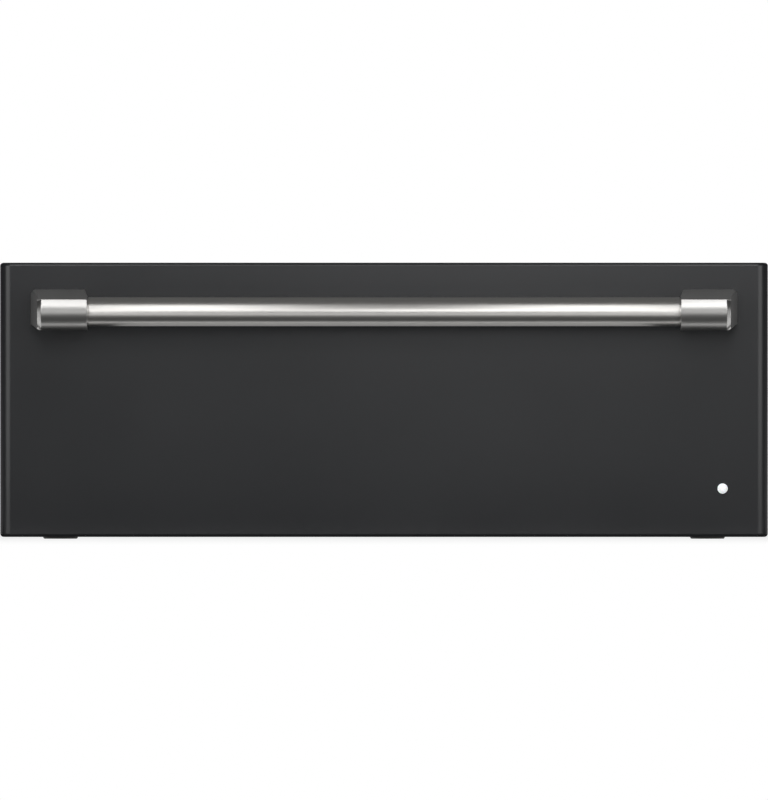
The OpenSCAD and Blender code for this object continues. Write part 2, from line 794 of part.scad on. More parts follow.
// Shut at rest. It moves towards +X, and then its slots meet the liner's
module vent_slider() {
  y0 = liner_y + vent_play;
  y1 = y0 + vent_t;
  slot_h = rivet_d + 2 * play;
  color("#8f9193") difference() {
    union() {
      along_y(y0, y1) translate([-vent_half, vent_z - vent_h / 2]) square([2 * vent_half, vent_h]);
      block([-tab_w / 2, tab_w / 2], [y1, y1 + tab_d], [vent_z - tab_t / 2, vent_z + tab_t / 2]);
    }
    for (x = vent_x) along_y(y0 - over, y1 + over)
      translate([x - vent_travel - vent_slot_w / 2, vent_z - vent_slot_h / 2])
        square([vent_slot_w, vent_slot_h]);
    for (side = [-1, 1]) {
      rod_y(slot_h, side * rivet_x, vent_z, y0 - over, y1 + over);
      rod_y(slot_h, side * rivet_x - vent_travel, vent_z, y0 - over, y1 + over);
      block([side * rivet_x - vent_travel, side * rivet_x], [y0 - over, y1 + over],
        [vent_z - slot_h / 2, vent_z + slot_h / 2]);
    }
  }
}

// ---- Slides ----

// A channel between web and lip, for the slide at the right
module slide_channel(web_u, lip_u, v, y0, y1) {
  low_u = min(web_u, lip_u);
  web = web_u < lip_u ? [web_u, web_u + member_t] : [web_u - member_t, web_u];
  long = abs(lip_u - web_u);
  along_y(y0, y1) translate([cavity_x, slide_z]) mirror([1, 0]) union() {
    translate([web[0], -v]) square([member_t, 2 * v]);
    translate([low_u, v - member_t]) square([long, member_t]);
    translate([low_u, -v]) square([long, member_t]);
  }
}

module slide_outer() {
  slide_channel(0, outer_lip_u, slide_h / 2, slide_y0, slide_y1);
}

module slide_middle() {
  slide_channel(middle_u, outer_lip_u, middle_v, slide_y0, slide_y1);
}

module slide_inner() {
  slide_channel(slide_t, inner_u, inner_v, slide_y0, slide_y1);
}

// One U-shaped cage: a web beside the members and a lip between each pair of races
module ball_cage(web_u, ball_u, ball_v) {
  v1 = ball_v + cage_lip_t / 2;
  lip_end = outer_lip_u - cage_lip_back;
  difference() {
    along_y(cage_y0, cage_y1) translate([cavity_x, slide_z]) mirror([1, 0]) union() {
      translate([web_u, -v1]) square([cage_t, 2 * v1]);
      for (v = [-v1, v1 - cage_lip_t]) translate([web_u, v]) square([lip_end - web_u, cage_lip_t]);
    }
    at_balls(ball_u, ball_v) translate([0, 0, -ball_d / 2])
      cylinder(d = ball_d + 2 * cage_hole_play, h = ball_d);
  }
}

module at_balls(ball_u, ball_v) {
  pitch = (cage_y1 - cage_y0) / ball_count;
  for (i = [0:ball_count - 1], up = [-1, 1])
    translate([cavity_x - ball_u, cage_y0 + (i + 0.5) * pitch, slide_z + up * ball_v]) children();
}

module outer_cage() {
  ball_cage(outer_cage_u, outer_ball_u, outer_ball_v);
}

module inner_cage() {
  ball_cage(inner_cage_u, inner_ball_u, inner_ball_v);
}

module outer_balls() {
  at_balls(outer_ball_u, outer_ball_v) sphere(d = ball_d);
}

module inner_balls() {
  at_balls(inner_ball_u, inner_ball_v) sphere(d = ball_d);
}

module slide_outer_right() {
  color(galvanised) slide_outer();
}

module slide_outer_left() {
  color(galvanised) mirror([1, 0, 0]) slide_outer();
}

module slide_middle_right() {
  color(galvanised) slide_middle();
}

module slide_middle_left() {
  color(galvanised) mirror([1, 0, 0]) slide_middle();
}

module slide_inner_right() {
  color(galvanised) slide_inner();
}

module slide_inner_left() {
  color(galvanised) mirror([1, 0, 0]) slide_inner();
}

module outer_cage_right() {
  color(steel) outer_cage();
}

module outer_cage_left() {
  color(steel) mirror([1, 0, 0]) outer_cage();
}

module inner_cage_right() {
  color(steel) inner_cage();
}

module inner_cage_left() {
  color(steel) mirror([1, 0, 0]) inner_cage();
}

module outer_balls_right() {
  color("silver") outer_balls();
}

module outer_balls_left() {
  color("silver") mirror([1, 0, 0]) outer_balls();
}

module inner_balls_right() {
  color("silver") inner_balls();
}

module inner_balls_left() {
  color("silver") mirror([1, 0, 0]) inner_balls();
}

// ---- Case ----

module face_frame() {
  y1 = frame_y + frame_t;
  color(steel) difference() {
    block([-flange_x, flange_x], [frame_y, y1], [case_z0, case_z1]);
    block([-cavity_x, cavity_x], [frame_y - over, y1 + over], [cavity_z0, cavity_z1]);
    for (side = [-1, 1], z = cabinet_hole_z)
      rod_y(cabinet_hole_d, side * cabinet_hole_x, z, frame_y - over, y1 + over);
    rod_y(bush_d + 2 * play, control_x, control_z, frame_y - over, y1 + over);
    rod_y(lamp_d + 2 * play, lens_x, lens_z, frame_y - over, y1 + over);
  }
}

// The case screws of one side: children are drawn with the screw along X and its head at the outer face
module at_side_screws() {
  for (y = case_screw_y, z = [case_z0 + case_flange / 2, case_z1 - case_flange / 2])
    translate([case_x, y, z]) children();
}

// The screws of the back panel, with the head at the back
module at_back_screws() {
  for (x = high_screw_x) translate([x, back_y, case_z1 - case_flange / 2]) children();
  for (x = low_screw_x) translate([x, back_y, case_z0 + case_flange / 2]) children();
}

// The screws of the terminal cover
module at_cover_screws() {
  for (side = [-1, 1], z = [access_z[0] + cover_screw_inset, access_z[1] - cover_screw_inset])
    translate([gland_x + side * cover_screw_x, back_y, z]) children();
}

module side_screw_holes(d) {
  both_sides() at_side_screws() rod_x(d, 0, 0, -case_screw_len - over, over);
}

module back_screw_holes(d) {
  at_back_screws() rod_y(d, 0, 0, -case_screw_len - over, over);
}

module base_pan() {
  y1 = panel_back_y;
  color(galvanised) difference() {
    union() {
      block([-inner_x, inner_x], [cavity_y0, y1], [case_z0, case_z0 + sheet_t]);
      both_sides() block([blanket_x, inner_x], [cavity_y0, y1], [case_z0, case_z0 + case_flange]);
      block([-blanket_x, blanket_x], [y1 - sheet_t, y1], [case_z0, case_z0 + case_flange]);
    }
    for (side = [-1, 1], y = foot_y)
      rod_z(foot_stem_d + 2 * play, side * foot_x, y, case_z0 - over, blanket_z0 + over);
    side_screw_holes(case_screw_d + 2 * play);
    back_screw_holes(case_screw_d + 2 * play);
    at_cover_screws() rod_y(case_screw_d + 2 * play, 0, 0, -case_screw_len - over, over);
  }
}

module top_cover() {
  y1 = panel_back_y;
  color(galvanised) difference() {
    union() {
      block([-inner_x, inner_x], [cavity_y0, y1], [case_z1 - sheet_t, case_z1]);
      both_sides() block([blanket_x, inner_x], [cavity_y0, y1], [case_z1 - case_flange, case_z1]);
      block([-blanket_x, blanket_x], [y1 - sheet_t, y1], [case_z1 - case_flange, case_z1]);
    }
    side_screw_holes(case_screw_d + 2 * play);
    back_screw_holes(case_screw_d + 2 * play);
  }
}

module side_panel() {
  difference() {
    block([inner_x, case_x], [cavity_y0, panel_back_y], [case_z0, case_z1]);
    at_side_screws() rod_x(case_screw_d + 2 * play, 0, 0, -case_screw_len, over);
  }
}

module side_panel_right() {
  color(galvanised) side_panel();
}

module side_panel_left() {
  color(galvanised) mirror([1, 0, 0]) side_panel();
}

module back_panel() {
  color(galvanised) difference() {
    block([-case_x, case_x], [panel_back_y, back_y], [case_z0, case_z1]);
    back_screw_holes(case_screw_d + 2 * play);
    at_cover_screws() rod_y(case_screw_d + 2 * play, 0, 0, -2 * sheet_t, over);
    block([gland_x - access_w / 2, gland_x + access_w / 2], [panel_back_y - over, back_y + over], access_z);
    for (i = [0:louvre_count - 1], z = louvre_z)
      translate([(i - (louvre_count - 1) / 2) * louvre_pitch - louvre_w / 2, panel_back_y - over, z])
        cube([louvre_w, sheet_t + 2 * over, louvre_h]);
  }
}

module case_screws() {
  color(galvanised) union() {
    both_sides() at_side_screws() union() {
      rod_x(case_screw_d, 0, 0, -case_screw_len, 0);
      rod_x(case_head_d, 0, 0, 0, case_head_t);
    }
    at_back_screws() union() {
      rod_y(case_screw_d, 0, 0, -case_screw_len, 0);
      rod_y(case_head_d, 0, 0, 0, case_head_t);
    }
    at_cover_screws() union() {
      rod_y(case_screw_d, 0, 0, -case_screw_len / 2, cover_t);
      rod_y(case_head_d, 0, 0, cover_t, cover_t + case_head_t);
    }
  }
}

module feet() {
  top_r = foot_d / 2;
  stem_r = foot_stem_d / 2;
  barb_z = blanket_z0 + play;
  tip_z = blanket_z0 + foot_barb_h;
  color(black) for (side = [-1, 1], y = foot_y) translate([side * foot_x, y, 0]) rotate_extrude()
    polygon([[0, 0], [top_r - 2 * foot_taper, 0], [top_r - foot_taper, foot_taper], [top_r, foot_h],
      [stem_r, foot_h], [stem_r, barb_z], [foot_barb_d / 2, barb_z], [stem_r - foot_taper, tip_z],
      [0, tip_z]]);
}

module cavity_liner() {
  color("#a9abad") difference() {
    block([-shell_x, shell_x], [cavity_y0, shell_y1], [cavity_z0 - liner_t, cavity_z1 + liner_t]);
    block([-cavity_x, cavity_x], [cavity_y0 - over, cavity_y1], [cavity_z0, cavity_z1]);
    for (x = [run_x[0], run_x[run_count - 1]])
      rod_y(element_d + 2 * play, x, element_z, cavity_y1 - over, shell_y1 + over);
    rod_y(probe_d + 2 * play, probe_x, probe_z, cavity_y1 - over, shell_y1 + over);
  }
}

module floor_insulation() {
  color(wool) difference() {
    block([-blanket_x, blanket_x], [cavity_y0, shell_y1], [blanket_z0, floor_blanket_z1]);
    for (side = [-1, 1], y = foot_y)
      rod_z(foot_barb_d + 2 * room, side * foot_x, y, blanket_z0 - over, blanket_z0 + foot_barb_h + room);
    side_screw_holes(case_screw_d + 2 * room);
  }
}

module roof_insulation() {
  color(wool) difference() {
    block([-blanket_x, blanket_x], [cavity_y0, panel_back_y - sheet_t], [roof_blanket_z0, roof_blanket_z1]);
    side_screw_holes(case_screw_d + 2 * room);
    back_screw_holes(case_screw_d + 2 * room);
    block([bay_x0, blanket_x], [shell_y1, panel_back_y], [roof_blanket_z0 - over, roof_blanket_z1 + over]);
  }
}

// A blanket beside the cavity: it leaves a channel at the case's side, and starts at y0
module side_insulation(y0) {
  block([shell_x, inner_x - channel_w], [y0, shell_y1], [floor_blanket_z1, roof_blanket_z0]);
}

module left_insulation() {
  color(wool) mirror([1, 0, 0]) side_insulation(cavity_y0);
}

module right_insulation() {
  color(wool) side_insulation(cavity_y0 + switch_d + control_bay);
}

module back_insulation() {
  y1 = shell_y1 + back_blanket_t;
  half = cutout_plate[0] / 2 + room;
  color(wool) difference() {
    block([-blanket_x, bay_x0], [shell_y1, y1], [blanket_z0, roof_blanket_z0]);
    for (x = [run_x[0], run_x[run_count - 1]])
      rod_y(element_d + 2 * pocket_gap, x, element_z, shell_y1 - over, y1 + over);
    rod_y(probe_d + 2 * pocket_gap, probe_x, probe_z, shell_y1 - over, y1 + over);
    block([cutout_x - half, cutout_x + half], [shell_y1 - over, y1 + over],
      [cutout_z - cutout_d / 2 - pocket_gap, cutout_z + cutout_d / 2 + pocket_gap]);
  }
}

// A ring round the cavity's mouth: it starts at gap from the mouth and is w wide
module seal_ring(gap, w, y0, y1) {
  far = gap + w;
  along_y(y0, y1) difference() {
    translate([-cavity_x - far, cavity_z0 - far])
      soft_rect(cavity_w + 2 * far, cavity_h + 2 * far, [far, far, far, far]);
    translate([-cavity_x - gap, cavity_z0 - gap]) square([cavity_w + 2 * gap, cavity_h + 2 * gap]);
  }
}

// A flat strip with a narrower crown
module door_seal() {
  color("#6b6d70") union() {
    seal_ring(seal_gap, seal_w, frame_y - seal_base_t, frame_y);
    seal_ring(seal_gap + (seal_w - seal_crown_w) / 2, seal_crown_w, frame_y - seal_t, frame_y - seal_base_t);
  }
}

// ---- Heater ----

// Half a turn of the element. It opens towards +Y, or towards -Y where turned
module element_turn(x, y, turned) {
  translate([x, y, element_z]) rotate([0, 0, turned ? 0 : 180])
    rotate_extrude(angle = 180) translate([turn_r, 0]) circle(d = element_d);
}

module heating_element() {
  last = run_count - 1;
  color("#5d5a56") union() {
    for (i = [0:last]) {
      rear = (i == 0 || i == last) ? shell_y1 + element_end : run_y1;
      rod_y(element_d, run_x[i], element_z, run_y0, rear);
    }
    for (i = [0:2:last - 1]) element_turn((run_x[i] + run_x[i + 1]) / 2, run_y0, false);
    for (i = [1:2:last - 2]) element_turn((run_x[i] + run_x[i + 1]) / 2, run_y1, true);
  }
}

module element_clips() {
  top_z = element_z + element_d / 2 + clip_wall;
  color(steel) for (x = run_x, y = clip_y) difference() {
    block([x - clip_w / 2, x + clip_w / 2], [y - clip_t / 2, y + clip_t / 2], [cavity_z0, top_z]);
    rod_y(element_d + 2 * play, x, element_z, y - clip_t, y + clip_t);
  }
}

module element_guard() {
  pitch_x = 2 * (guard_x - guard_margin) / guard_columns;
  pitch_y = (guard_y[1] - guard_y[0] - 2 * guard_margin) / guard_rows;
  color("#a9abad") difference() {
    union() {
      block([-guard_x, guard_x], guard_y, [guard_z - guard_t, guard_z]);
      both_sides() block([guard_x - guard_t, guard_x], guard_y, [cavity_z0, guard_z]);
    }
    for (i = [0:guard_columns - 1], j = [0:guard_rows - 1]) {
      x = (i - (guard_columns - 1) / 2) * pitch_x;
      y = (guard_y[0] + guard_y[1]) / 2 + (j - (guard_rows - 1) / 2) * pitch_y;
      translate([x - guard_slot_w / 2, y - guard_slot_len / 2, guard_z - guard_t - over])
        cube([guard_slot_w, guard_slot_len, guard_t + 2 * over]);
    }
  }
}

module temperature_probe() {
  color("silver") union() {
    rod_y(probe_d, probe_x, probe_z, cavity_y1 - probe_len, shell_y1 + element_end);
    rod_y(2 * probe_d, probe_x, probe_z, cavity_y1 - probe_collar_t, cavity_y1);
  }
}

module thermal_cutout() {
  plate = cutout_plate;
  color(black) union() {
    block([cutout_x - plate[0] / 2, cutout_x + plate[0] / 2], [shell_y1, shell_y1 + plate[2]],
      [cutout_z - plate[1] / 2, cutout_z + plate[1] / 2]);
    rod_y(cutout_d, cutout_x, cutout_z, shell_y1, shell_y1 + cutout_t);
  }
}

// ---- Controls ----

module control_switch() {
  y1 = cavity_y0 + switch_d;
  color(black) difference() {
    union() {
      block([control_x - switch_w / 2, control_x + switch_w / 2], [cavity_y0, y1],
        [control_z - switch_h / 2, control_z + switch_h / 2]);
      rod_y(bush_d, control_x, control_z, frame_y - plate_t, cavity_y0);
    }
    rod_y(shaft_d + 2 * play, control_x, control_z, frame_y - plate_t - over, cavity_y0 + shaft_reach + seat);
  }
}

module control_plate() {
  color(black) difference() {
    union() {
      block([control_x - plate_w / 2, control_x + plate_w / 2], [frame_y - plate_t, frame_y],
        [control_z - plate_h / 2, control_z + plate_h / 2]);
      for (i = [0:dot_count - 1]) {
        a = -dot_sweep / 2 + i * dot_sweep / (dot_count - 1);
        rod_y(dot_d, control_x + dot_ring_r * sin(a), control_z + dot_ring_r * cos(a),
          frame_y - plate_t - dot_t, frame_y);
      }
    }
    rod_y(bush_d + 2 * play, control_x, control_z, frame_y - plate_t - over, frame_y + over);
  }
}

module control_shaft() {
  color(steel) rod_y(shaft_d, control_x, control_z, knob_y1 - knob_bore_depth, cavity_y0 + shaft_reach);
}

// A round skirt and a grip. The raised pointer stands at the first dot, which is off
module temperature_knob() {
  color(black) translate([control_x, 0, control_z]) difference() {
    union() {
      rod_y(knob_d, 0, 0, knob_y1 - skirt_t, knob_y1);
      rod_y(grip_d, 0, 0, knob_y0, knob_y1 - skirt_t);
      rotate([0, -dot_sweep / 2, 0]) block([-pointer_w / 2, pointer_w / 2],
        [knob_y0 - pointer_rise, knob_y1 - skirt_t - pointer_rise], [0, grip_d / 2 + pointer_rise]);
    }
    rod_y(shaft_d + 2 * play, 0, 0, knob_y1 - knob_bore_depth - play, knob_y1 + over);
  }
}

module indicator_lamp() {
  board_y = cavity_y0 + lamp_stand;
  color("#e8e6da") union() {
    rod_y(lamp_d, lens_x, lens_z, frame_y - lamp_nose, board_y);
    rod_y(lamp_rim_d, lens_x, lens_z, cavity_y0, cavity_y0 + lamp_rim_t);
    block([lens_x - board[0] / 2, lens_x + board[0] / 2], [board_y, board_y + board[1]],
      [lens_z - board[2] / 2, lens_z + board[2] / 2]);
  }
}

// ---- Mains ----

module terminal_block() {
  x0 = gland_x - block_w / 2;
  color("#e3ddc9") difference() {
    block([x0, x0 + block_w], [block_y0, panel_back_y - sheet_t], [blanket_z0, block_z1]);
    for (i = [0:block_ways - 1])
      rod_z(block_hole_d, x0 + (i + 0.5) * block_w / block_ways, block_y0 + block_hole_d,
        block_z1 - block_hole_h, block_z1 + over);
  }
}

module terminal_cover() {
  half = access_w / 2 + cover_margin;
  color(galvanised) difference() {
    block([gland_x - half, gland_x + half], [back_y, back_y + cover_t],
      [access_z[0] - cover_edge, access_z[1] + cover_edge]);
    rod_y(gland_thread_d + 2 * play, gland_x, gland_z, back_y - over, back_y + cover_t + over);
    at_cover_screws() rod_y(case_screw_d + 2 * play, 0, 0, -over, cover_t + over);
  }
}

module cord_gland() {
  outer_y = back_y + cover_t;
  end_y = back_y + gland_proud;
  flange_end = outer_y + gland_flange_t;
  start_y = back_y - nut_t - gland_tail;
  color(black) difference() {
    union() {
      rod_y(gland_thread_d, gland_x, gland_z, start_y, outer_y);
      translate([gland_x, 0, gland_z]) along_y(back_y - nut_t, back_y) circle(d = nut_d, $fn = 6);
      translate([gland_x, 0, gland_z]) along_y(outer_y, flange_end) circle(d = nut_d, $fn = 6);
      translate([gland_x, end_y, gland_z]) rotate([90, 0, 0])
        cylinder(d1 = gland_bore_d + 2 * gland_lip, d2 = gland_thread_d, h = end_y - flange_end);
    }
    rod_y(gland_bore_d, gland_x, gland_z, start_y - over, end_y + over);
  }
}

// A joint of the loom: a ball a little thicker than the wires that meet in it
module wire_knot(p) {
  translate(p) sphere(d = knot_d);
}

// Leads from the terminal block to the element, the probe and the control switch
module wiring_loom() {
  up_x = gland_x + block_w * 3 / 8;
  side_x = inner_x - channel_w / 2;
  level_z = control_z - switch_h / 5;
  switch_y = cavity_y0 + switch_d;
  color("#7b2d26") union() {
    rod_z(wire_d, up_x, wire_y, block_z1, level_z);
    wire_knot([up_x, wire_y, level_z]);
    rod_x(branch_d, wire_y, level_z, up_x, side_x);
    wire_knot([side_x, wire_y, level_z]);
    rod_y(wire_d, side_x, level_z, switch_y, wire_y);
    // Along the back to both ends of the element
    wire_knot([up_x, wire_y, bus_z]);
    rod_x(branch_d, wire_y, bus_z, run_x[0], up_x);
    for (x = [run_x[0], run_x[run_count - 1]]) {
      wire_knot([x, wire_y, bus_z]);
      rod_z(twig_d, x, wire_y, element_z, bus_z);
      wire_knot([x, wire_y, element_z]);
      rod_y(branch_d, x, element_z, shell_y1 + element_end, wire_y);
    }
    // Up to the probe
    wire_knot([probe_x, wire_y, bus_z]);
    rod_z(twig_d, probe_x, wire_y, bus_z, probe_z);
    wire_knot([probe_x, wire_y, probe_z]);
    rod_y(branch_d, probe_x, probe_z, shell_y1 + element_end, wire_y);
  }
}

front_skin();
front_liner();
front_insulation();
control_pocket();
handle_bar();
handle_mount_left();
handle_mount_right();
handle_screws();
indicator_lens();
lens_clip();
drawer_tub();
tub_screws();
wire_rack();
vent_rivets();
vent_slider();
slide_inner_left();
slide_inner_right();
slide_middle_left();
slide_middle_right();
slide_outer_left();
slide_outer_right();
outer_cage_left();
outer_cage_right();
inner_cage_left();
inner_cage_right();
outer_balls_left();
outer_balls_right();
inner_balls_left();
inner_balls_right();
face_frame();
base_pan();
side_panel_left();
side_panel_right();
top_cover();
back_panel();
cavity_liner();
floor_insulation();
roof_insulation();
left_insulation();
right_insulation();
back_insulation();
case_screws();
feet();
door_seal();
heating_element();
element_clips();
element_guard();
temperature_probe();
thermal_cutout();
control_switch();
control_plate();
control_shaft();
temperature_knob();
indicator_lamp();
terminal_block();
terminal_cover();
wiring_loom();
cord_gland();
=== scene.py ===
# %% [markdown]
# # Dressing a warming drawer around its CAD frame
# The CAD model already holds every part at its real size and place, in metres, with the front of the
# drawer towards -Y. This lesson gives those parts their finishes, re-forms the ones whose edges or curves
# the eye follows, and lights them as in a product photograph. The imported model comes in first, because
# every later step measures itself against it.

import json
import math

import bmesh
import bpy
from mathutils import Matrix, Vector

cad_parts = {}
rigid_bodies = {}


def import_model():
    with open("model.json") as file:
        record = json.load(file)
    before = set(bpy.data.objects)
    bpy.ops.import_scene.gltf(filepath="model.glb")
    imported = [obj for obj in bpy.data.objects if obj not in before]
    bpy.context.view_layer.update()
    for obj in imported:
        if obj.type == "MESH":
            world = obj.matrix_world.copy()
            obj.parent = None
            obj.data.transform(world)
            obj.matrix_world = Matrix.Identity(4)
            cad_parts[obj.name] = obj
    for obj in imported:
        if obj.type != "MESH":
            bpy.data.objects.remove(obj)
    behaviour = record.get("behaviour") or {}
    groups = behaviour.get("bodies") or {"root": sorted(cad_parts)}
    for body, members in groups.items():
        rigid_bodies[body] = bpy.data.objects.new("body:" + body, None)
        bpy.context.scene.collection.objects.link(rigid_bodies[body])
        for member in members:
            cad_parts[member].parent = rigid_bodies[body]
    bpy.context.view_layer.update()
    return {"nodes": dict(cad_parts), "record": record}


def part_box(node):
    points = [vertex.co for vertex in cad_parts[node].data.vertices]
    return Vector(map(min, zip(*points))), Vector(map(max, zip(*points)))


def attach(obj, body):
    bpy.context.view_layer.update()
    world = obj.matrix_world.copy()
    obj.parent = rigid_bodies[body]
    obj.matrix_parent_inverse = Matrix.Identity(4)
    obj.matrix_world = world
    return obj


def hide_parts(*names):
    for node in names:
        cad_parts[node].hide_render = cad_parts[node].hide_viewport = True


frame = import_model()
cad = frame["nodes"]
body_of = {n: body for body, names in frame["record"]["behaviour"]["bodies"].items() for n in names}
slot_of = {row["node"]: row["material_slot"] for row in frame["record"]["subparts"]}

# %% [markdown]
# ## The camera
# The photograph looks straight at the drawer's front without any visible perspective: the handle's mounts
# show their outer flanks, which a near camera would hide. A very long lens from far away does the same.
# The front is 756 mm wide and fills 768 pixels, so one pixel is 0.984 mm on the front's face, and the
# distance follows from the lens and the sensor.

# %% Camera from the photograph's scale
PIXELS_HIGH = 800
MM_PER_PIXEL = 0.9843
LENS = 1500.0
SENSOR = 36.0
EYE_Z = 0.1368
# The scale holds this far behind the face, among the rounds of the bent sides
SCALE_DEPTH = 0.004
FARTHEST = 1000.0
face_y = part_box("front_skin")[0].y
distance = PIXELS_HIGH * MM_PER_PIXEL / 1000 * LENS / SENSOR
camera = bpy.data.objects.new("camera", bpy.data.cameras.new("camera"))
camera.data.lens = LENS
camera.data.sensor_width = SENSOR
camera.data.clip_end = FARTHEST
camera.location = (0.0, face_y + SCALE_DEPTH - distance, EYE_Z)
camera.rotation_euler = (math.radians(90), 0.0, 0.0)
bpy.context.scene.collection.objects.link(camera)
bpy.context.scene.camera = camera
print("camera", round(distance, 3), "m in front of the face")

# %% [markdown]
# ## Tools for finishes
# A shader works in linear light, while colours are picked in sRGB, so one function converts. A second one
# adds a node with its settings and links, and a third starts a material from its main shader. Four short
# ones make what nearly every finish has: a noise, a blend of two colours by a pattern, a roughness that
# follows the pattern, and a shallow relief. Patterns are sized in millimetres: a noise of scale
# 1000 / size repeats about once in that size.

# %% Colour, node and material helpers
def linear(code):
    """An sRGB colour such as "#37383a" as the linear colour that a shader takes."""
    parts = [int(code[i:i + 2], 16) / 255 for i in (1, 3, 5)]
    return [c / 12.92 if c <= 0.04045 else ((c + 0.055) / 1.055) ** 2.4 for c in parts] + [1.0]


def per_m(size_mm):
    """The texture scale at which a pattern repeats about once in size_mm."""
    return 1000.0 / size_mm


def add(tree, kind, links=None, **settings):
    """Adds one node to a tree. links gives its inputs: values, or other nodes' outputs."""
    node = tree.nodes.new(kind)
    for name, value in settings.items():
        setattr(node, name, value)
    connect(tree, node, links or {})
    return node


def connect(tree, node, links):
    """Fills a node's inputs with values, or links them to other nodes' outputs."""
    for name, value in links.items():
        if isinstance(value, bpy.types.NodeSocket):
            tree.links.new(value, node.inputs[name])
        else:
            node.inputs[name].default_value = value


def finish(name, colour, **sockets):
    """A new material with its tree, its main shader and its Object coordinates. A pattern may take the
    place of the plain colour."""
    material = bpy.data.materials.new(name)
    material.use_nodes = True
    tree = material.node_tree
    shader = tree.nodes["Principled BSDF"]
    connect(tree, shader, {"Base Color": linear(colour), **sockets})
    place = add(tree, "ShaderNodeTexCoord").outputs["Object"]
    return material, tree, shader, place


def noise(tree, place, size_mm, detail, **inputs):
    """The value of a noise that repeats about once in size_mm."""
    return add(tree, "ShaderNodeTexNoise", {"Vector": place, "Scale": per_m(size_mm), "Detail": detail,
                                            **inputs}).outputs[0]


def blend(tree, share, first, second):
    """A colour that goes from the first sRGB code to the second one as share goes from 0 to 1."""
    return add(tree, "ShaderNodeMix", {0: share, 6: linear(first), 7: linear(second)},
               data_type="RGBA").outputs[2]


def ranged(tree, value, low, high, start=0.0, end=1.0):
    """A value that goes from low to high as another one goes from start to end."""
    return add(tree, "ShaderNodeMapRange", {"Value": value, "From Min": start, "From Max": end,
                                            "To Min": low, "To Max": high}).outputs[0]


def relief(tree, height, strength, depth_mm=0.1):
    """The normal of a surface that a pattern dents by up to depth_mm times strength."""
    return add(tree, "ShaderNodeBump", {"Height": height, "Strength": strength,
                                        "Distance": depth_mm / 1000}).outputs[0]


finishes = {}
print("helpers ready; #808080 is", round(linear("#808080")[0], 3), "in linear light")

# %% [markdown]
# ## Coil-coated steel, the drawer's front
# The front is a folded steel sheet with a baked satin coating in dark slate grey. It has no grain: the
# eye gets a soft, wide sheen that follows the bends, and up close a very fine orange peel. So the shader
# is a plain dielectric with medium roughness, a cloud that varies the roughness a little, and a shallow
# bump.

# %% Slate coating
PEEL_MM = 1.6
CLOUD_MM = 140.0
slate, tree, shader, place = finish("coil_coated_steel_slate", "#222325", IOR=1.46)
peel = noise(tree, place, PEEL_MM, 3.0)
cloud = noise(tree, place, CLOUD_MM, 2.0)
connect(tree, shader, {"Roughness": ranged(tree, cloud, 0.28, 0.32, 0.3, 0.7),
                       "Normal": relief(tree, peel, 0.05)})
finishes["slate_sheet"] = slate
print(slate.name, len(tree.nodes), "nodes")

# %% [markdown]
# ## Stainless steels
# All bright parts are stainless steel, but each is worked another way. The bar is brushed along its
# length, which leaves long fine lines. The cast mounts are bead blasted, so their sheen is even. The
# liner is cold-rolled sheet, the tub is drawn and slightly cloudy, and the rack is drawn wire. Brush
# lines, blasted dints and rolled grain are about 0.1 mm across on the real parts, too fine to show here,
# so they are drawn at 0.5, 0.6 and 0.8 mm.

# %% Brushed bar
BRUSH_MM = 0.5
BRUSH_LENGTH_MM = 60.0
brushed, tree, shader, place = finish("brushed_stainless_steel", "#cfcdca", Metallic=1.0)
stretch = add(tree, "ShaderNodeMapping", {"Vector": place,
                                          "Scale": (BRUSH_MM / BRUSH_LENGTH_MM, 1.0, 1.0)})
lines = noise(tree, stretch.outputs[0], BRUSH_MM, 4.0, Roughness=0.6)
connect(tree, shader, {"Roughness": ranged(tree, lines, 0.30, 0.34, 0.3, 0.7),
                       "Normal": relief(tree, lines, 0.02)})
finishes["brushed_stainless"] = brushed
print(brushed.name, "lines every", BRUSH_MM, "mm")

# %% Bead-blasted mounts
BEAD_MM = 0.6
blasted, tree, shader, place = finish("bead_blasted_stainless_steel", "#c6c5c3", Metallic=1.0)
beads = noise(tree, place, BEAD_MM, 2.0)
connect(tree, shader, {"Roughness": ranged(tree, beads, 0.31, 0.37), "Normal": relief(tree, beads, 0.07)})
finishes["satin_stainless"] = blasted
print(blasted.name, "dints of", BEAD_MM, "mm")

# %% Cold-rolled sheet, drawn tub and drawn wire
CLOUD_SHEET_MM = 45.0
SMOOTHER, ROUGHER = 0.03, 0.04
# Slot: name, colour, roughness, stretch of the grain along each axis, its size in mm and its relief
steels = {
    "stainless_sheet": ("cold_rolled_stainless_steel", "#c2c1bf", 0.33, (0.02, 1.0, 1.0), 0.8, 0.05),
    "drawn_stainless": ("deep_drawn_stainless_steel", "#c4c3c0", 0.30, (1.0, 0.05, 1.0), 0.8, 0.03),
    "rack_wire": ("polished_stainless_wire", "#cdcccb", 0.18, (1.0, 1.0, 1.0), 3.0, 0.03),
}
for slot, (name, colour, rough, scale, grain_mm, depth) in steels.items():
    steel, tree, shader, place = finish(name, colour, Metallic=1.0)
    stretch = add(tree, "ShaderNodeMapping", {"Vector": place, "Scale": scale})
    grain = noise(tree, stretch.outputs[0], grain_mm, 4.0)
    cloud = noise(tree, place, CLOUD_SHEET_MM, 3.0)
    both = add(tree, "ShaderNodeMath", {0: grain, 1: cloud}).outputs[0]
    connect(tree, shader, {"Roughness": ranged(tree, both, rough - SMOOTHER, rough + ROUGHER, 0.7, 1.3),
                           "Normal": relief(tree, grain, depth)})
    finishes[slot] = steel
print("stainless finishes:", ", ".join(finishes[s].name for s in steels))

# %% [markdown]
# ## Galvanised steel, the case
# The case is hot-dip galvanised sheet. Zinc freezes in flat crystals, the spangle, a few millimetres
# across, and each crystal mirrors the light a little differently. Voronoi cells give just that: every
# cell gets its own tone and roughness.

# %% Spangled zinc
SPANGLE_MM = 6.0
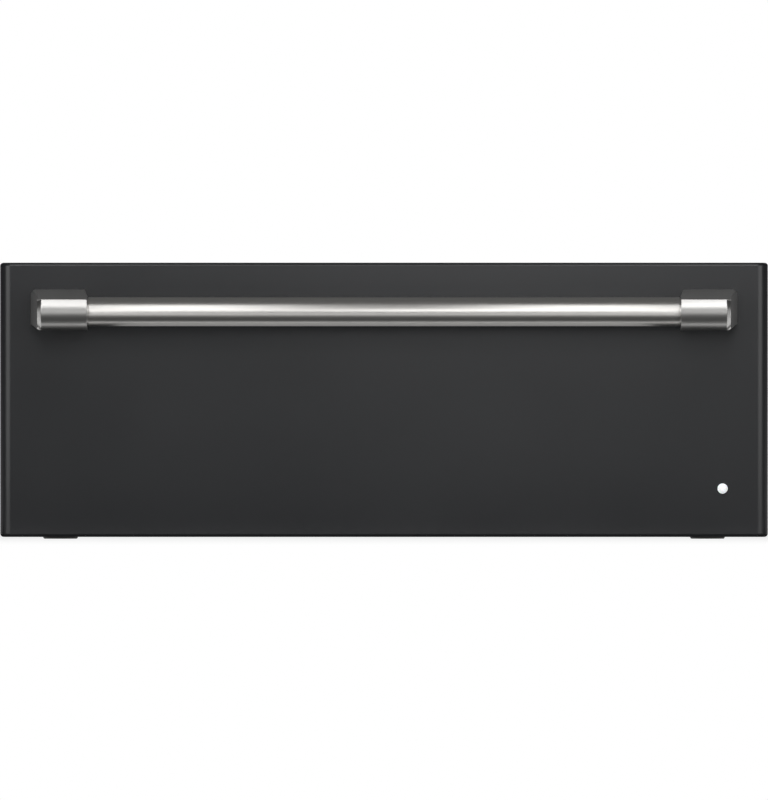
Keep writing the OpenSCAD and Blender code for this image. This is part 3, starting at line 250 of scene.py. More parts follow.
# A coarser noise, mixed into the place by a small share, bends the edges of the crystals
WARP_MM = 14.0
WARP = 0.012
zinc, tree, shader, place = finish("hot_dip_galvanised_steel", "#a9abad", Metallic=1.0)
warp = add(tree, "ShaderNodeTexNoise", {"Vector": place, "Scale": per_m(WARP_MM), "Detail": 2.0})
bent = add(tree, "ShaderNodeMix", {0: WARP, 4: place, 5: warp.outputs["Color"]}, data_type="VECTOR")
cells = add(tree, "ShaderNodeTexVoronoi", {"Vector": bent.outputs[1], "Scale": per_m(SPANGLE_MM)})
tone = add(tree, "ShaderNodeSeparateColor", {0: cells.outputs["Color"]})
connect(tree, shader, {"Base Color": blend(tree, tone.outputs[0], "#aaadb0", "#b4b6b8"),
                       "Roughness": ranged(tree, tone.outputs[1], 0.38, 0.44)})
finishes["galvanised_sheet"] = zinc
print(zinc.name, "spangle of", SPANGLE_MM, "mm")

# %% [markdown]
# ## Small metal parts
# Slides are cold-rolled steel with bright zinc plating, the balls are hardened and polished, and screws
# are zinc plated. The heater's sheath is an iron-nickel alloy that has turned brownish grey with heat.

# %% Plated and heat-tinted metals
# Slot: name, colour, roughness, second colour and the size of its patches in mm
small = {
    "slide_steel": ("bright_zinc_plated_steel", "#b4b8bc", 0.24, "#aab0b8", 60.0),
    "ball_steel": ("polished_bearing_steel", "#d2d3d4", 0.07, "#cdced0", 8.0),
    "zinc_screws": ("zinc_plated_screw_steel", "#bdbfbe", 0.27, "#b3b3a8", 5.0),
    "element_sheath": ("heat_tinted_alloy_sheath", "#6e6a63", 0.42, "#57493b", 18.0),
}
for slot, (name, colour, rough, second, patch_mm) in small.items():
    plated, tree, shader, place = finish(name, colour, Metallic=1.0)
    patch = noise(tree, place, patch_mm, 4.0)
    share = ranged(tree, patch, 0.0, 1.0, 0.35, 0.65)
    connect(tree, shader, {"Base Color": blend(tree, share, colour, second),
                           "Roughness": ranged(tree, patch, rough * 0.85, rough * 1.15)})
    finishes[slot] = plated
print("small metal finishes:", ", ".join(finishes[s].name for s in small))

# %% [markdown]
# ## Plastics, rubber, glass wool and ceramic
# The rest is not metal. The knob, plate, pocket and gland are black ABS moulded on a fine spark texture,
# whose pits of about 0.1 mm are drawn at 0.9 mm to show. Feet are nitrile rubber, the door seal is grey
# silicone, and the blankets are glass wool, whose hair-thin fibres show as soft streaks. The indicator
# lens is a milky light pipe: light scatters inside it, and a faint glow keeps it as white as in the
# photograph.

# %% Moulded black plastic
SPARK_MM = 0.9
abs_black, tree, shader, place = finish("moulded_black_abs", "#1d1e1f", IOR=1.54)
spark = add(tree, "ShaderNodeTexVoronoi", {"Vector": place, "Scale": per_m(SPARK_MM)}).outputs[0]
connect(tree, shader, {"Roughness": ranged(tree, spark, 0.40, 0.52), "Normal": relief(tree, spark, 0.12)})
finishes["black_plastic"] = abs_black
print(abs_black.name, "spark texture of", SPARK_MM, "mm")

# %% Rubber, silicone, sleeves, ceramic and lamp
# Slot: name, colour, roughness, second colour, the size of its mottle in mm and its relief
soft = {
    "foot_rubber": ("nitrile_rubber", "#222222", 0.7, "#2c2b2a", 2.0, 0.25),
    "seal_silicone": ("grey_silicone_rubber", "#7d7f80", 0.5, "#747677", 3.0, 0.1),
    "lead_sleeve": ("woven_glass_sleeve", "#b8b2a4", 0.75, "#968f80", 0.8, 0.4),
    "terminal_ceramic": ("glazed_steatite", "#e4ded0", 0.25, "#d8d1c1", 6.0, 0.05),
    "lamp_white": ("moulded_white_nylon", "#e6e5e0", 0.4, "#dddcd6", 2.0, 0.05),
}
for slot, (name, colour, rough, second, size_mm, depth) in soft.items():
    made, tree, shader, place = finish(name, colour)
    mottle = noise(tree, place, size_mm, 4.0)
    connect(tree, shader, {"Base Color": blend(tree, mottle, colour, second),
                           "Roughness": ranged(tree, mottle, rough - 0.08, rough + 0.08),
                           "Normal": relief(tree, mottle, depth, 0.2)})
    finishes[slot] = made
print("soft and ceramic finishes:", ", ".join(finishes[s].name for s in soft))

# %% Glass wool
STREAK_MM = 1.5
LAID_FLAT = (0.25, 0.25, 1.0)
wool, tree, shader, place = finish("glass_wool", "#d8cf9f", Roughness=0.95)
flat = add(tree, "ShaderNodeMapping", {"Vector": place, "Scale": LAID_FLAT})
streak = noise(tree, flat.outputs[0], STREAK_MM, 8.0, Roughness=0.7)
connect(tree, shader, {"Base Color": blend(tree, streak, "#c5b882", "#e6dfb8"),
                       "Normal": relief(tree, streak, 0.8, 1.0), "Sheen Weight": 0.3})
finishes["insulation_wool"] = wool
print(wool.name, "streaks of", STREAK_MM, "mm")

# %% Milky light pipe
FLECK_MM = 1.0
SCATTER = 0.002
milky, tree, shader, place = finish("opal_polycarbonate", "#f6f7f8", Roughness=0.22, IOR=1.58)
fleck = noise(tree, place, FLECK_MM, 2.0)
# The emission is a painted glow, not lamp light, that brightens the lens to white
connect(tree, shader, {"Base Color": blend(tree, fleck, "#f1f3f5", "#fbfbfb"), "Subsurface Weight": 0.2,
                       "Subsurface Scale": SCATTER, "Emission Color": linear("#f6f7f8"),
                       "Emission Strength": 0.35})
finishes["white_lens"] = milky
print(milky.name)

# %% Put the finishes on the CAD nodes
for name, node in cad.items():
    for surface in node.material_slots:
        surface.material = finishes[slot_of[name]]
print("slots without a finish:", sorted(set(slot_of.values()) - set(finishes)))

# %% [markdown]
# ## Tools for pieces
# A finished piece is one mesh object at the origin, with its place in its vertices. One helper takes a
# bmesh, checks the way its faces point, makes the object, shades it smooth up to a given angle and hands
# it to the body that carries it. The others do the small jobs that most pieces need: a box, a round on
# some edges, a cut, a turned shape, a sheet's thickness and flats that stay flat.

# %% Piece helpers
MM = 0.001
# Points closer than this, in metres, are one point
MERGE = 1e-6


def piece(name, bm, node, stands_for=True, sharp=35.0, closed=True):
    """Turns a bmesh into an object that rides and is finished like a CAD node, and may replace it."""
    if closed:
        bmesh.ops.recalc_face_normals(bm, faces=bm.faces)
    mesh = bpy.data.meshes.new(name)
    bm.to_mesh(mesh)
    bm.free()
    mesh.shade_smooth()
    mesh.set_sharp_from_angle(angle=math.radians(sharp))
    mesh.materials.append(finishes[slot_of[node]])
    made = bpy.data.objects.new(name, mesh)
    bpy.context.scene.collection.objects.link(made)
    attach(made, body_of[node])
    if stands_for:
        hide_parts(node)
    return made


def refinished(made, slot):
    """Gives a piece another finish than that of the CAD node it rides with."""
    made.data.materials[0] = finishes[slot]


def flats_kept_flat(made):
    """Weighs a piece's normals by face size, so that small rounds don't tint the flats beside them."""
    weigh = made.modifiers.new("even_flats", "WEIGHTED_NORMAL")
    weigh.keep_sharp = True


def sheet_wall(made, thickness, even=True):
    """Gives an open shell its sheet thickness, inwards, in mm."""
    wall = made.modifiers.new("sheet", "SOLIDIFY")
    wall.thickness = thickness * MM
    wall.offset = -1.0
    wall.use_even_offset = even


print("piece helpers ready")

# %% Mesh helpers
def corners(node):
    """The lowest and the highest corner of a CAD node's box, in mm."""
    return [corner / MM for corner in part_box(node)]


def merged(node):
    """A CAD node's mesh as a bmesh, with its doubled points merged."""
    bm = bmesh.new()
    bm.from_mesh(cad[node].data)
    bmesh.ops.remove_doubles(bm, verts=bm.verts, dist=MERGE)
    return bm


def near(a, b):
    """Whether two lengths in mm are the same but for rounding."""
    return abs(a - b) < 0.01


def only(kind, geom):
    """The items of one kind among the mixed results of an operator."""
    return [g for g in geom if isinstance(g, kind)]


def box(bm, low, high):
    """Adds a box between two corners, in mm."""
    low, high = Vector(low), Vector(high)
    size = Matrix.Diagonal((*(high - low) * MM, 1.0))
    bmesh.ops.create_cube(bm, size=1.0, matrix=Matrix.Translation((low + high) / 2 * MM) @ size)


def edges_where(bm, test):
    """The edges of which both ends pass a test on their place in mm."""
    return [e for e in bm.edges if all(test(v.co / MM) for v in e.verts)]


def round_off(bm, edges, width, segments, clamp=False):
    """Bevels edges to a round of width mm."""
    bmesh.ops.bevel(bm, geom=edges, offset=width * MM, offset_type="OFFSET", affect="EDGES",
                    segments=segments, profile=0.5, material=-1, clamp_overlap=clamp)


def cut(bm, faces, at, normal):
    """Cuts some faces along a plane through a point in mm."""
    geom = list({v for f in faces for v in f.verts} | {e for f in faces for e in f.edges}) + list(faces)
    bmesh.ops.bisect_plane(bm, geom=geom, plane_co=Vector(at) * MM, plane_no=normal)


def turned(bm, profile, centre, axis, steps):
    """Spins a profile of (along, out) points, in mm, once round the axis through centre."""
    along = Vector(axis)
    out = along.orthogonal().normalized()
    points = [bm.verts.new(Vector(centre) * MM + along * a * MM + out * r * MM) for a, r in profile]
    edges = [bm.edges.new(pair) for pair in zip(points, points[1:])]
    bmesh.ops.spin(bm, geom=points + edges, cent=Vector(centre) * MM, axis=along,
                   angle=math.tau, steps=steps, use_merge=True)
    bmesh.ops.remove_doubles(bm, verts=bm.verts, dist=MERGE)


print("mesh helpers ready")

# %% [markdown]
# ## Softened edges on the folded and cast parts
# A real sheet or casting never has a knife edge: a hair of roundness catches the light. The CAD solids
# have sharp edges, so a copy of each is merged, its flat triangles are joined back to whole faces, and
# its long sharp edges get a small bevel. Short edges round holes are left, since a bevel there would
# crowd them. A weighted normal keeps the flats flat.

# %% Softened copies
# In degrees: faces flatter than the first are joined, and edges sharper than the second are rounded
SAME_PLANE = 0.3
SHARP_FROM = 25.0


def softened(node, width, segments=2, longest_short=4.0):
    """A copy of a CAD node with its longer sharp edges rounded by width, in mm."""
    bm = merged(node)
    bmesh.ops.dissolve_limit(bm, verts=bm.verts, edges=bm.edges, angle_limit=math.radians(SAME_PLANE))
    sharp = [e for e in bm.edges if len(e.link_faces) == 2
             and e.calc_face_angle() > math.radians(SHARP_FROM) and e.calc_length() > longest_short * MM]
    round_off(bm, sharp, width, segments, clamp=True)
    made = piece(node + "_soft", bm, node, closed=False)
    flats_kept_flat(made)
    return made


MOUNT_ROUND, MOUNT_SHORT = 0.45, 0.8
for node in ("handle_mount_left", "handle_mount_right"):
    made = softened(node, MOUNT_ROUND, segments=3, longest_short=MOUNT_SHORT)
    print(made.name, len(made.data.polygons), "faces")

# %% Sheet, moulded and padded parts
edge_mm = {
    0.25: "face_frame side_panel_left side_panel_right top_cover back_panel base_pan control_plate "
          "control_pocket terminal_cover vent_slider element_clips element_guard indicator_lamp",
    0.35: "slide_outer_left slide_outer_right slide_middle_left slide_middle_right slide_inner_left "
          "slide_inner_right outer_cage_left outer_cage_right inner_cage_left inner_cage_right",
    0.6: "cavity_liner door_seal control_switch cord_gland terminal_block thermal_cutout",
    3.0: "left_insulation right_insulation back_insulation floor_insulation roof_insulation "
         "front_insulation",
}
for width, nodes in edge_mm.items():
    for node in nodes.split():
        softened(node, width)
    print("rounded by", width, "mm:", nodes)

# %% [markdown]
# ## The handle bar
# The bar is a round tube, 28.6 mm across, that ends in a thin groove beside each mount and goes on as a
# narrower tenon inside it. It is a turned part, so half of its outline is spun once round its axis, with
# a small round on each edge of the groove.

# %% Turned bar
GROOVE_W, GROOVE_R, EDGE_R, TENON_R = 1.2, 13.0, 0.35, 10.9
bar_low, bar_high = corners("handle_bar")
bar_r = (bar_high.z - bar_low.z) / 2
bar_centre = (0.0, (bar_low.y + bar_high.y) / 2, (bar_low.z + bar_high.z) / 2)
mount_x = corners("handle_mount_right")[0].x
half = [(bar_high.x, 0.0), (bar_high.x, TENON_R), (mount_x, TENON_R), (mount_x, GROOVE_R),
        (mount_x - GROOVE_W, GROOVE_R), (mount_x - GROOVE_W, bar_r - EDGE_R)]
half += [(mount_x - GROOVE_W - EDGE_R * (1 - math.cos(math.radians(t))),
          bar_r - EDGE_R * (1 - math.sin(math.radians(t)))) for t in (30, 60, 90)]
bm = bmesh.new()
turned(bm, half + [(-a, r) for a, r in reversed(half)], bar_centre, (1, 0, 0), 96)
bar = piece("handle_bar_turned", bm, "handle_bar")
print("bar of", round(2 * bar_r, 2), "mm,", len(bar.data.polygons), "faces")

# %% [markdown]
# ## The indicator lens
# A small white dome with a thin flange round it covers the lamp's light pipe. Both are moulded in one
# piece, so one profile is spun: pipe, flange with a round edge, a fine step and the dome.

# %% Moulded lens
PIPE_R, FLANGE_H, LIP_R, STEP, DIP = 3.0, 0.7, 0.3, 0.55, 0.1
lens_low, lens_high = corners("indicator_lens")
lens_centre = ((lens_low.x + lens_high.x) / 2, face_y / MM, (lens_low.z + lens_high.z) / 2)
lens_r = (lens_high.x - lens_low.x) / 2
rise = face_y / MM - lens_low.y
inside = lens_high.y - face_y / MM
dome_r = lens_r - STEP
profile = [(inside, 0.0), (inside, PIPE_R), (0.0, PIPE_R), (0.0, lens_r), (LIP_R - FLANGE_H, lens_r),
           (0.3 * LIP_R - FLANGE_H, lens_r - 0.3 * LIP_R), (-FLANGE_H, lens_r - LIP_R),
           (DIP - FLANGE_H, dome_r)]
profile += [(-FLANGE_H - (rise - FLANGE_H) * math.sin(math.radians(t)),
             dome_r * math.cos(math.radians(t))) for t in range(0, 91, 10)]
bm = bmesh.new()
turned(bm, profile, lens_centre, (0, 1, 0), 48)
piece("indicator_lens_moulded", bm, "indicator_lens")
print("lens of", round(2 * lens_r, 2), "mm, rising", round(rise, 2), "mm")

# %% [markdown]
# ## The folded front
# The drawer's face is one sheet: its sides turn back round a wide bend, its top and bottom round a tight
# one, and the corners are closed and ground round. An open box does it: first the two upright edges are
# bevelled wide, then the top and bottom rims, which by then run round the bends. Steam leaves through
# five slots in the top edge, cut by bisecting the top face. The sheet gets its thickness last.

# %% Folded front sheet
SKIN_T = 1.2
SIDE_R, TOP_R, LOW_R = 11.0, 3.2, 3.6
SLOTS, SLOT_PITCH, SLOT_W, SLOT_D, SLOT_FROM = 5, 24.0, 18.0, 4.0, 13.0


def top_faces():
    """The faces of the front's top edge."""
    return [f for f in bm.faces if near(f.calc_center_median().z / MM, high.z)]


low, high = corners("front_skin")
bm = bmesh.new()
box(bm, low, high)
back = [f for f in bm.faces if near(f.calc_center_median().y / MM, high.y)]
bmesh.ops.delete(bm, geom=back, context="FACES_ONLY")
bends = [e for e in edges_where(bm, lambda p: near(p.y, low.y) and near(abs(p.x), high.x))
         if near(e.verts[0].co.x / MM, e.verts[1].co.x / MM)]
round_off(bm, bends, SIDE_R, 14)
for level, width, segments in ((high.z, TOP_R, 5), (low.z, LOW_R, 7)):
    rim = [e for e in edges_where(bm, lambda p: near(p.z, level))
           if not all(near(v.co.y / MM, high.y) for v in e.verts)]
    round_off(bm, rim, width, segments)
slots = [(k - (SLOTS - 1) / 2) * SLOT_PITCH for k in range(SLOTS)]
for x in slots:
    for side in (-1, 1):
        cut(bm, top_faces(), (x + side * SLOT_W / 2, 0, 0), (1, 0, 0))
for y in (SLOT_FROM, SLOT_FROM + SLOT_D):
    cut(bm, top_faces(), (0, low.y + y, 0), (0, 1, 0))
holes = [f for f in top_faces() for c in [f.calc_center_median() / MM]
         if min(abs(c.x - x) for x in slots) < SLOT_W / 2 and 0 < c.y - low.y - SLOT_FROM < SLOT_D]
bmesh.ops.delete(bm, geom=holes, context="FACES")
front = piece("front_skin_folded", bm, "front_skin", sharp=30.0)
sheet_wall(front, SKIN_T)
flats_kept_flat(front)
print("front sheet:", len(holes), "steam slots,", len(front.data.polygons), "faces")

# %% [markdown]
# ## The drawn tub
# The tub is deep drawn from one sheet, so its bottom edge is round as well as its corners, and its rim
# turns outwards at the sides and back and a little down. An open box is bevelled at the corners, then
# round the bottom, and the rim is extruded from its top edge.

# %% Drawn tub
TUB_T, TUB_CORNER_R, TUB_BOTTOM_R, RIM_W, RIM_DROP = 1.0, 20.0, 5.0, 5.0, 2.0
low, high = corners("drawer_tub")
bm = bmesh.new()
box(bm, (low.x + RIM_W, low.y, low.z), (high.x - RIM_W, high.y - RIM_W, high.z))
top = [f for f in bm.faces if near(f.calc_center_median().z / MM, high.z)]
bmesh.ops.delete(bm, geom=top, context="FACES_ONLY")
upright = [e for e in bm.edges if not near(e.verts[0].co.z / MM, e.verts[1].co.z / MM)]
round_off(bm, upright, TUB_CORNER_R, 10)
round_off(bm, edges_where(bm, lambda p: near(p.z, low.z)), TUB_BOTTOM_R, 5)
rim = [e for e in edges_where(bm, lambda p: near(p.z, high.z))
       if any(v.co.y / MM > low.y + TUB_CORNER_R - 1 for v in e.verts)]
grown = bmesh.ops.extrude_edge_only(bm, edges=rim)["geom"]
corner_x, corner_y = (far - RIM_W - TUB_CORNER_R for far in (high.x, high.y))
for v in only(bmesh.types.BMVert, grown):
    x, y = v.co.x / MM, v.co.y / MM
    past = Vector((math.copysign(max(abs(x) - corner_x, 0), x), max(y - corner_y, 0)))
    if past.length > 0.01:
        v.co += Vector((*past.normalized() * RIM_W * MM, 0))
lip = bmesh.ops.extrude_edge_only(bm, edges=only(bmesh.types.BMEdge, grown))["geom"]
bmesh.ops.translate(bm, verts=only(bmesh.types.BMVert, lip), vec=(0, 0, -RIM_DROP * MM))
tub = piece("drawer_tub_drawn", bm, "drawer_tub", sharp=40.0, closed=False)
sheet_wall(tub, TUB_T)
flats_kept_flat(tub)
print("tub", [round(v) for v in high - low], "mm")

# %% [markdown]
# ## The wire rack
# Plates stand on a rack of bright wires, so that air gets under them. Each wire is cut, its ends are
# tumbled round, and it is spot welded where it crosses a rod, which leaves a small bead. A capped
# cylinder with bevelled rims makes a wire, and a flattened ball makes a bead.

# %% Welded rack
ROD_D, WIRE_D, LEG_D, WIRES = 5.0, 3.0, 6.0, 23
ROD_END, WIRE_END, LEG_END = 0.9, 0.6, 0.8
END_ROD, WELD_DEPTH, WELD_R = 22.0, 0.5, (2.3, 2.6, 1.0)


def rod(bm, start, end, diameter, end_round, sides=16):
    """Adds a rod between two points, in mm, with rounded rims."""
    start, end = Vector(start) * MM, Vector(end) * MM
    turn = (end - start).to_track_quat("Z", "Y").to_matrix().to_4x4()
    made = bmesh.ops.create_cone(bm, cap_ends=True, segments=sides, radius1=diameter / 2 * MM,
                                 radius2=diameter / 2 * MM, depth=(end - start).length,
                                 matrix=Matrix.Translation((start + end) / 2) @ turn)["verts"]
    rims = {e for v in made for e in v.link_edges if any(len(f.verts) > 4 for f in e.link_faces)}
    round_off(bm, list(rims), end_round, 2)


low, high = corners("wire_rack")
rod_z = high.z - WIRE_D - ROD_D / 2 + WELD_DEPTH
wire_z = high.z - WIRE_D / 2
rods_y = [low.y + END_ROD, (low.y + high.y) / 2, high.y - END_ROD]
pitch = 2 * (high.x - ROD_D) / (WIRES - 1)
bm = bmesh.new()
for y in rods_y:
    rod(bm, (low.x, y, rod_z), (high.x, y, rod_z), ROD_D, end_round=ROD_END)
for k in range(WIRES):
    x = (k - (WIRES - 1) / 2) * pitch
    rod(bm, (x, low.y, wire_z), (x, high.y, wire_z), WIRE_D, sides=12, end_round=WIRE_END)
    for y in rods_y:
        bmesh.ops.create_icosphere(bm, subdivisions=1, radius=MM, matrix=Matrix.Translation(
            Vector((x, y, wire_z - WIRE_D / 2)) * MM) @ Matrix.Diagonal((*WELD_R, 1.0)))
for x in (low.x + 2 * ROD_D, high.x - 2 * ROD_D):
    for y in (rods_y[0], rods_y[2]):
        rod(bm, (x, y, low.z), (x, y, rod_z), LEG_D, end_round=LEG_END)
piece("wire_rack_welded", bm, "wire_rack", sharp=60.0, closed=False)
print("rack:", WIRES, "wires,", WIRES * len(rods_y), "welds")

# %% [markdown]
# ## Screws with a cross recess
# The case screws are pan heads with a cross recess. One head is made per screw: a spun dome with its
# middle left open, bridged to a cross that is extruded down. The CAD model says where each screw is: its
# mesh is merged and every loose part gives one place.

# %% Pan-head screws
def islands(node):
    """The lowest and the highest corner of each separate solid of a CAD node, in mm."""
    bm = merged(node)
    left, found = set(bm.verts), []
    while left:
        group, grow = set(), [left.pop()]
        while grow:
            v = grow.pop()
            group.add(v)
            fresh = [e.other_vert(v) for e in v.link_edges if e.other_vert(v) in left]
            left.difference_update(fresh)
            grow += fresh
        found.append([Vector([end(v.co[i] for v in group) for i in range(3)]) / MM for end in (min, max)])
    bm.free()
    return sorted(found, key=lambda pair: tuple(round(c, 2) for c in pair[0]))


def pan_head(bm, top, outwards, head_d, head_t, shank_d, length):
    """Adds a pan-head screw, its top at a point in mm and facing outwards."""
    out = Vector(outwards)
    start = set(bm.verts)
    r, edge = head_d / 2, head_t * 0.45
    profile = [(-length, 0.0), (-length, shank_d / 2), (-head_t, shank_d / 2), (-head_t, r),
               (edge - head_t, r), (-0.35 * head_t, r * 0.93), (-0.12 * head_t, r * 0.8), (0.0, r * 0.6)]
    turned(bm, profile, top, outwards, 24)
    ring = [e for v in bm.verts if v not in start for e in v.link_edges if len(e.link_faces) == 1
            and all(abs((w.co - Vector(top) * MM).dot(out)) < MERGE for w in e.verts)]
    arm, width, side = r * 0.45, r * 0.12, out.orthogonal().normalized()
    up = out.cross(side)
    plan = [(arm, -width), (arm, width), (width, width), (width, arm), (-width, arm), (-width, width)]
    plan += [(-a, -b) for a, b in plan]
    cross = [bm.verts.new(Vector(top) * MM + (side * a + up * b) * MM) for a, b in plan]
    loop = [bm.edges.new((a, b)) for a, b in zip(cross, cross[1:] + cross[:1])]
    bmesh.ops.bridge_loops(bm, edges=list(set(ring)) + loop)
    sunk = bmesh.ops.extrude_edge_only(bm, edges=loop)["geom"]
    bmesh.ops.translate(bm, verts=only(bmesh.types.BMVert, sunk), vec=out * -0.6 * head_t * MM)
    bmesh.ops.contextual_create(bm, geom=only(bmesh.types.BMEdge, sunk))


# Diameter and height of the head, and diameter of the shank
CASE_SCREW, TUB_SCREW = (7.41, 2.0, 3.9), (8.0, 2.5, 5.0)
places = islands("case_screws")
bm = bmesh.new()
for lows, highs in places:
    mid, size = (lows + highs) / 2, highs - lows
    long = max(range(3), key=lambda i: abs(size[i] - CASE_SCREW[0]))
    axis = Vector((math.copysign(1, mid.x), 0, 0)) if long == 0 else Vector((0, 1, 0))
    pan_head(bm, mid + axis * size[long] / 2, axis, *CASE_SCREW, size[long])
screws = piece("case_screws_pan_head", bm, "case_screws", sharp=40.0)
print("case screws:", len(places), "with", len(screws.data.polygons), "faces")

places = islands("tub_screws")
bm = bmesh.new()
for lows, highs in places:
    mid = (lows + highs) / 2
    pan_head(bm, (mid.x, highs.y, mid.z), (0, 1, 0), *TUB_SCREW, highs.y - lows.y)
piece("tub_screws_pan_head", bm, "tub_screws", sharp=40.0)
print("tub screws:", len(places))

# %% Screws that hold the tub's slide members
SLIDE_SCREW = (7.0, 1.4, 3.9)
WEB_T, END_GAP, IN_WEB, PER_SIDE = 1.2, 22.0, 1.0, 4
head_t = SLIDE_SCREW[1]
for side, node in ((-1, "slide_inner_left"), (1, "slide_inner_right")):
    low, high = corners(node)
    top_x = side * (min(abs(low.x), abs(high.x)) + WEB_T + head_t)
    step = (high.y - low.y - 2 * END_GAP) / (PER_SIDE - 1)
    bm = bmesh.new()
    for k in range(PER_SIDE):
        top = (top_x, low.y + END_GAP + k * step, (low.z + high.z) / 2)
        pan_head(bm, top, (side, 0, 0), *SLIDE_SCREW, head_t + IN_WEB)
    made = piece(node.replace("inner", "screws"), bm, node, stands_for=False, sharp=40.0)
    refinished(made, "zinc_screws")
print("slide screws:", 2 * PER_SIDE)

# %% [markdown]
# ## The knob
# The knob is moulded ABS with a skirt, a fluted grip and a raised pointer with a white line. It is a
# turned shape first; then the grip's vertices are drawn in by a wave round the axis, which gives the
# flutes, and the pointer is a bevelled block. Ten white dots on the plate mark its 270 degrees.

# %% Fluted knob
BORE_R, BORE_D, SKIRT_T, GRIP_R, RISE, FLUTES, FLUTE_D = 3.1, 10.1, 3.0, 10.0, 1.0, 18, 0.7
low, high = corners("temperature_knob")
axis_x, axis_z = (low.x + high.x) / 2, (low.z + high.z) / 2
skirt_r = (high.x - low.x) / 2
length = high.y - low.y - RISE
profile = [(BORE_D, 0.0), (BORE_D, BORE_R), (0.0, BORE_R), (0.0, skirt_r - 0.3), (0.3, skirt_r),
           (SKIRT_T - 0.8, skirt_r), (SKIRT_T - 0.2, skirt_r - 0.4), (SKIRT_T, skirt_r - 1.2),
           (SKIRT_T, GRIP_R + 0.4), (SKIRT_T + 0.4, GRIP_R), (SKIRT_T + 4.0, GRIP_R),
           (length - 1.2, GRIP_R), (length - 0.35, GRIP_R - 0.35), (length, GRIP_R - 1.2),
           (length - 0.3, GRIP_R - 2.4), (length - 0.4, 0.0)]
bm = bmesh.new()
turned(bm, profile, (axis_x, high.y, axis_z), (0, -1, 0), 8 * FLUTES)
for v in bm.verts:
    across = Vector((v.co.x / MM - axis_x, v.co.z / MM - axis_z))
    if SKIRT_T + 0.1 < high.y - v.co.y / MM < length + 0.01 and across.length > GRIP_R - 1.3:
        wave = 0.5 + 0.5 * math.cos(FLUTES * math.atan2(across.y, across.x))
        inwards = across.normalized() * FLUTE_D * wave * MM
        v.co -= Vector((inwards.x, 0, inwards.y))
piece("temperature_knob_fluted", bm, "temperature_knob", sharp=38.0)
print("knob with", FLUTES, "flutes")

# %% Pointer
SWEEP = 270.0
RIDGE_W, RIDGE_ROUND, LINE_W, LINE_T, LINE_FROM = 2.0, 0.35, 0.8, 0.3, 2.0


def at_off(bm):
    """Turns a shape from the top of the knob to the off mark, at the left end of its sweep."""
    bmesh.ops.rotate(bm, verts=bm.verts, cent=Vector((axis_x, 0, axis_z)) * MM,
                     matrix=Matrix.Rotation(math.radians(-SWEEP / 2), 3, "Y"))


bm = bmesh.new()
box(bm, (axis_x - RIDGE_W / 2, low.y + 0.1, axis_z - RIDGE_W / 2),
    (axis_x + RIDGE_W / 2, high.y - SKIRT_T - RISE, axis_z + GRIP_R + RISE))
round_off(bm, bm.edges[:], RIDGE_ROUND, 3)
at_off(bm)
piece("knob_pointer_ridge", bm, "temperature_knob", stands_for=False)
bm = bmesh.new()
box(bm, (axis_x - LINE_W / 2, low.y, axis_z + LINE_FROM),
    (axis_x + LINE_W / 2, low.y + LINE_T, axis_z + GRIP_R))
at_off(bm)
line = piece("knob_pointer_line", bm, "temperature_knob", stands_for=False)
refinished(line, "lamp_white")
print("pointer at", -SWEEP / 2, "degrees from the top")

# %% White dots round the knob
DOTS, DOT_D, DOT_GAP, DOT_PROUD, DOT_IN, DOT_ROUND = 10, 1.06, 0.8, 0.03, 0.2, 0.02
plate_y = corners("control_plate")[0].y
ring_r = skirt_r + DOT_GAP
bm = bmesh.new()
for k in range(DOTS):
    turn = math.radians(-SWEEP / 2 + k * SWEEP / (DOTS - 1))
    x, z = axis_x + ring_r * math.sin(turn), axis_z + ring_r * math.cos(turn)
    rod(bm, (x, plate_y - DOT_PROUD, z), (x, plate_y + DOT_IN, z), DOT_D, DOT_ROUND, sides=20)
dots = piece("control_dots_printed", bm, "control_plate", stands_for=False)
refinished(dots, "lamp_white")
print("dots:", DOTS, "white pads on the raised marks")

# %% [markdown]
# ## Rubber feet
# Each foot is a turned nitrile pad with a slightly dished sole, so that it grips at its rim, and two
# grooves. Its stem snaps into the base pan.

# %% Turned feet
FOOT_H, STEM_R, BARB_R, GROOVES = 10.0, 4.0, 5.0, (3.6, 6.2)
places = islands("feet")
bm = bmesh.new()
for lows, highs in places:
    r, tip = (highs.x - lows.x) / 2, highs.z
    profile = [(0.6, 0.0), (0.6, r - 5.0), (0.0, r - 4.0), (0.0, r - 2.2), (0.3, r - 1.5), (1.0, r - 1.0)]
    for level in GROOVES:
        profile += [(level - 0.5, r - 0.6), (level - 0.3, r - 1.1), (level + 0.3, r - 1.1),
                    (level + 0.5, r - 0.5)]
    profile += [(FOOT_H - 0.8, r), (FOOT_H, r - 0.6), (FOOT_H, STEM_R), (FOOT_H + 1.05, STEM_R),
                (FOOT_H + 1.05, BARB_R), (tip, STEM_R - 1.0), (tip, 0.0)]
    turned(bm, profile, ((lows.x + highs.x) / 2, (lows.y + highs.y) / 2, 0.0), (0, 0, 1), 48)
piece("rubber_feet_turned", bm, "feet", sharp=50.0)
print("feet:", len(places))

# %% [markdown]
# ## Louvre hoods and pressed beads
# Large thin panels are stiffened and vented by pressing. Over each slot in the back stands a small hood,
# a half ball pressed flat with its lower half open. Long low beads keep the top and the sides from
# drumming. Both are made from a ball: cut, stretched and flattened.

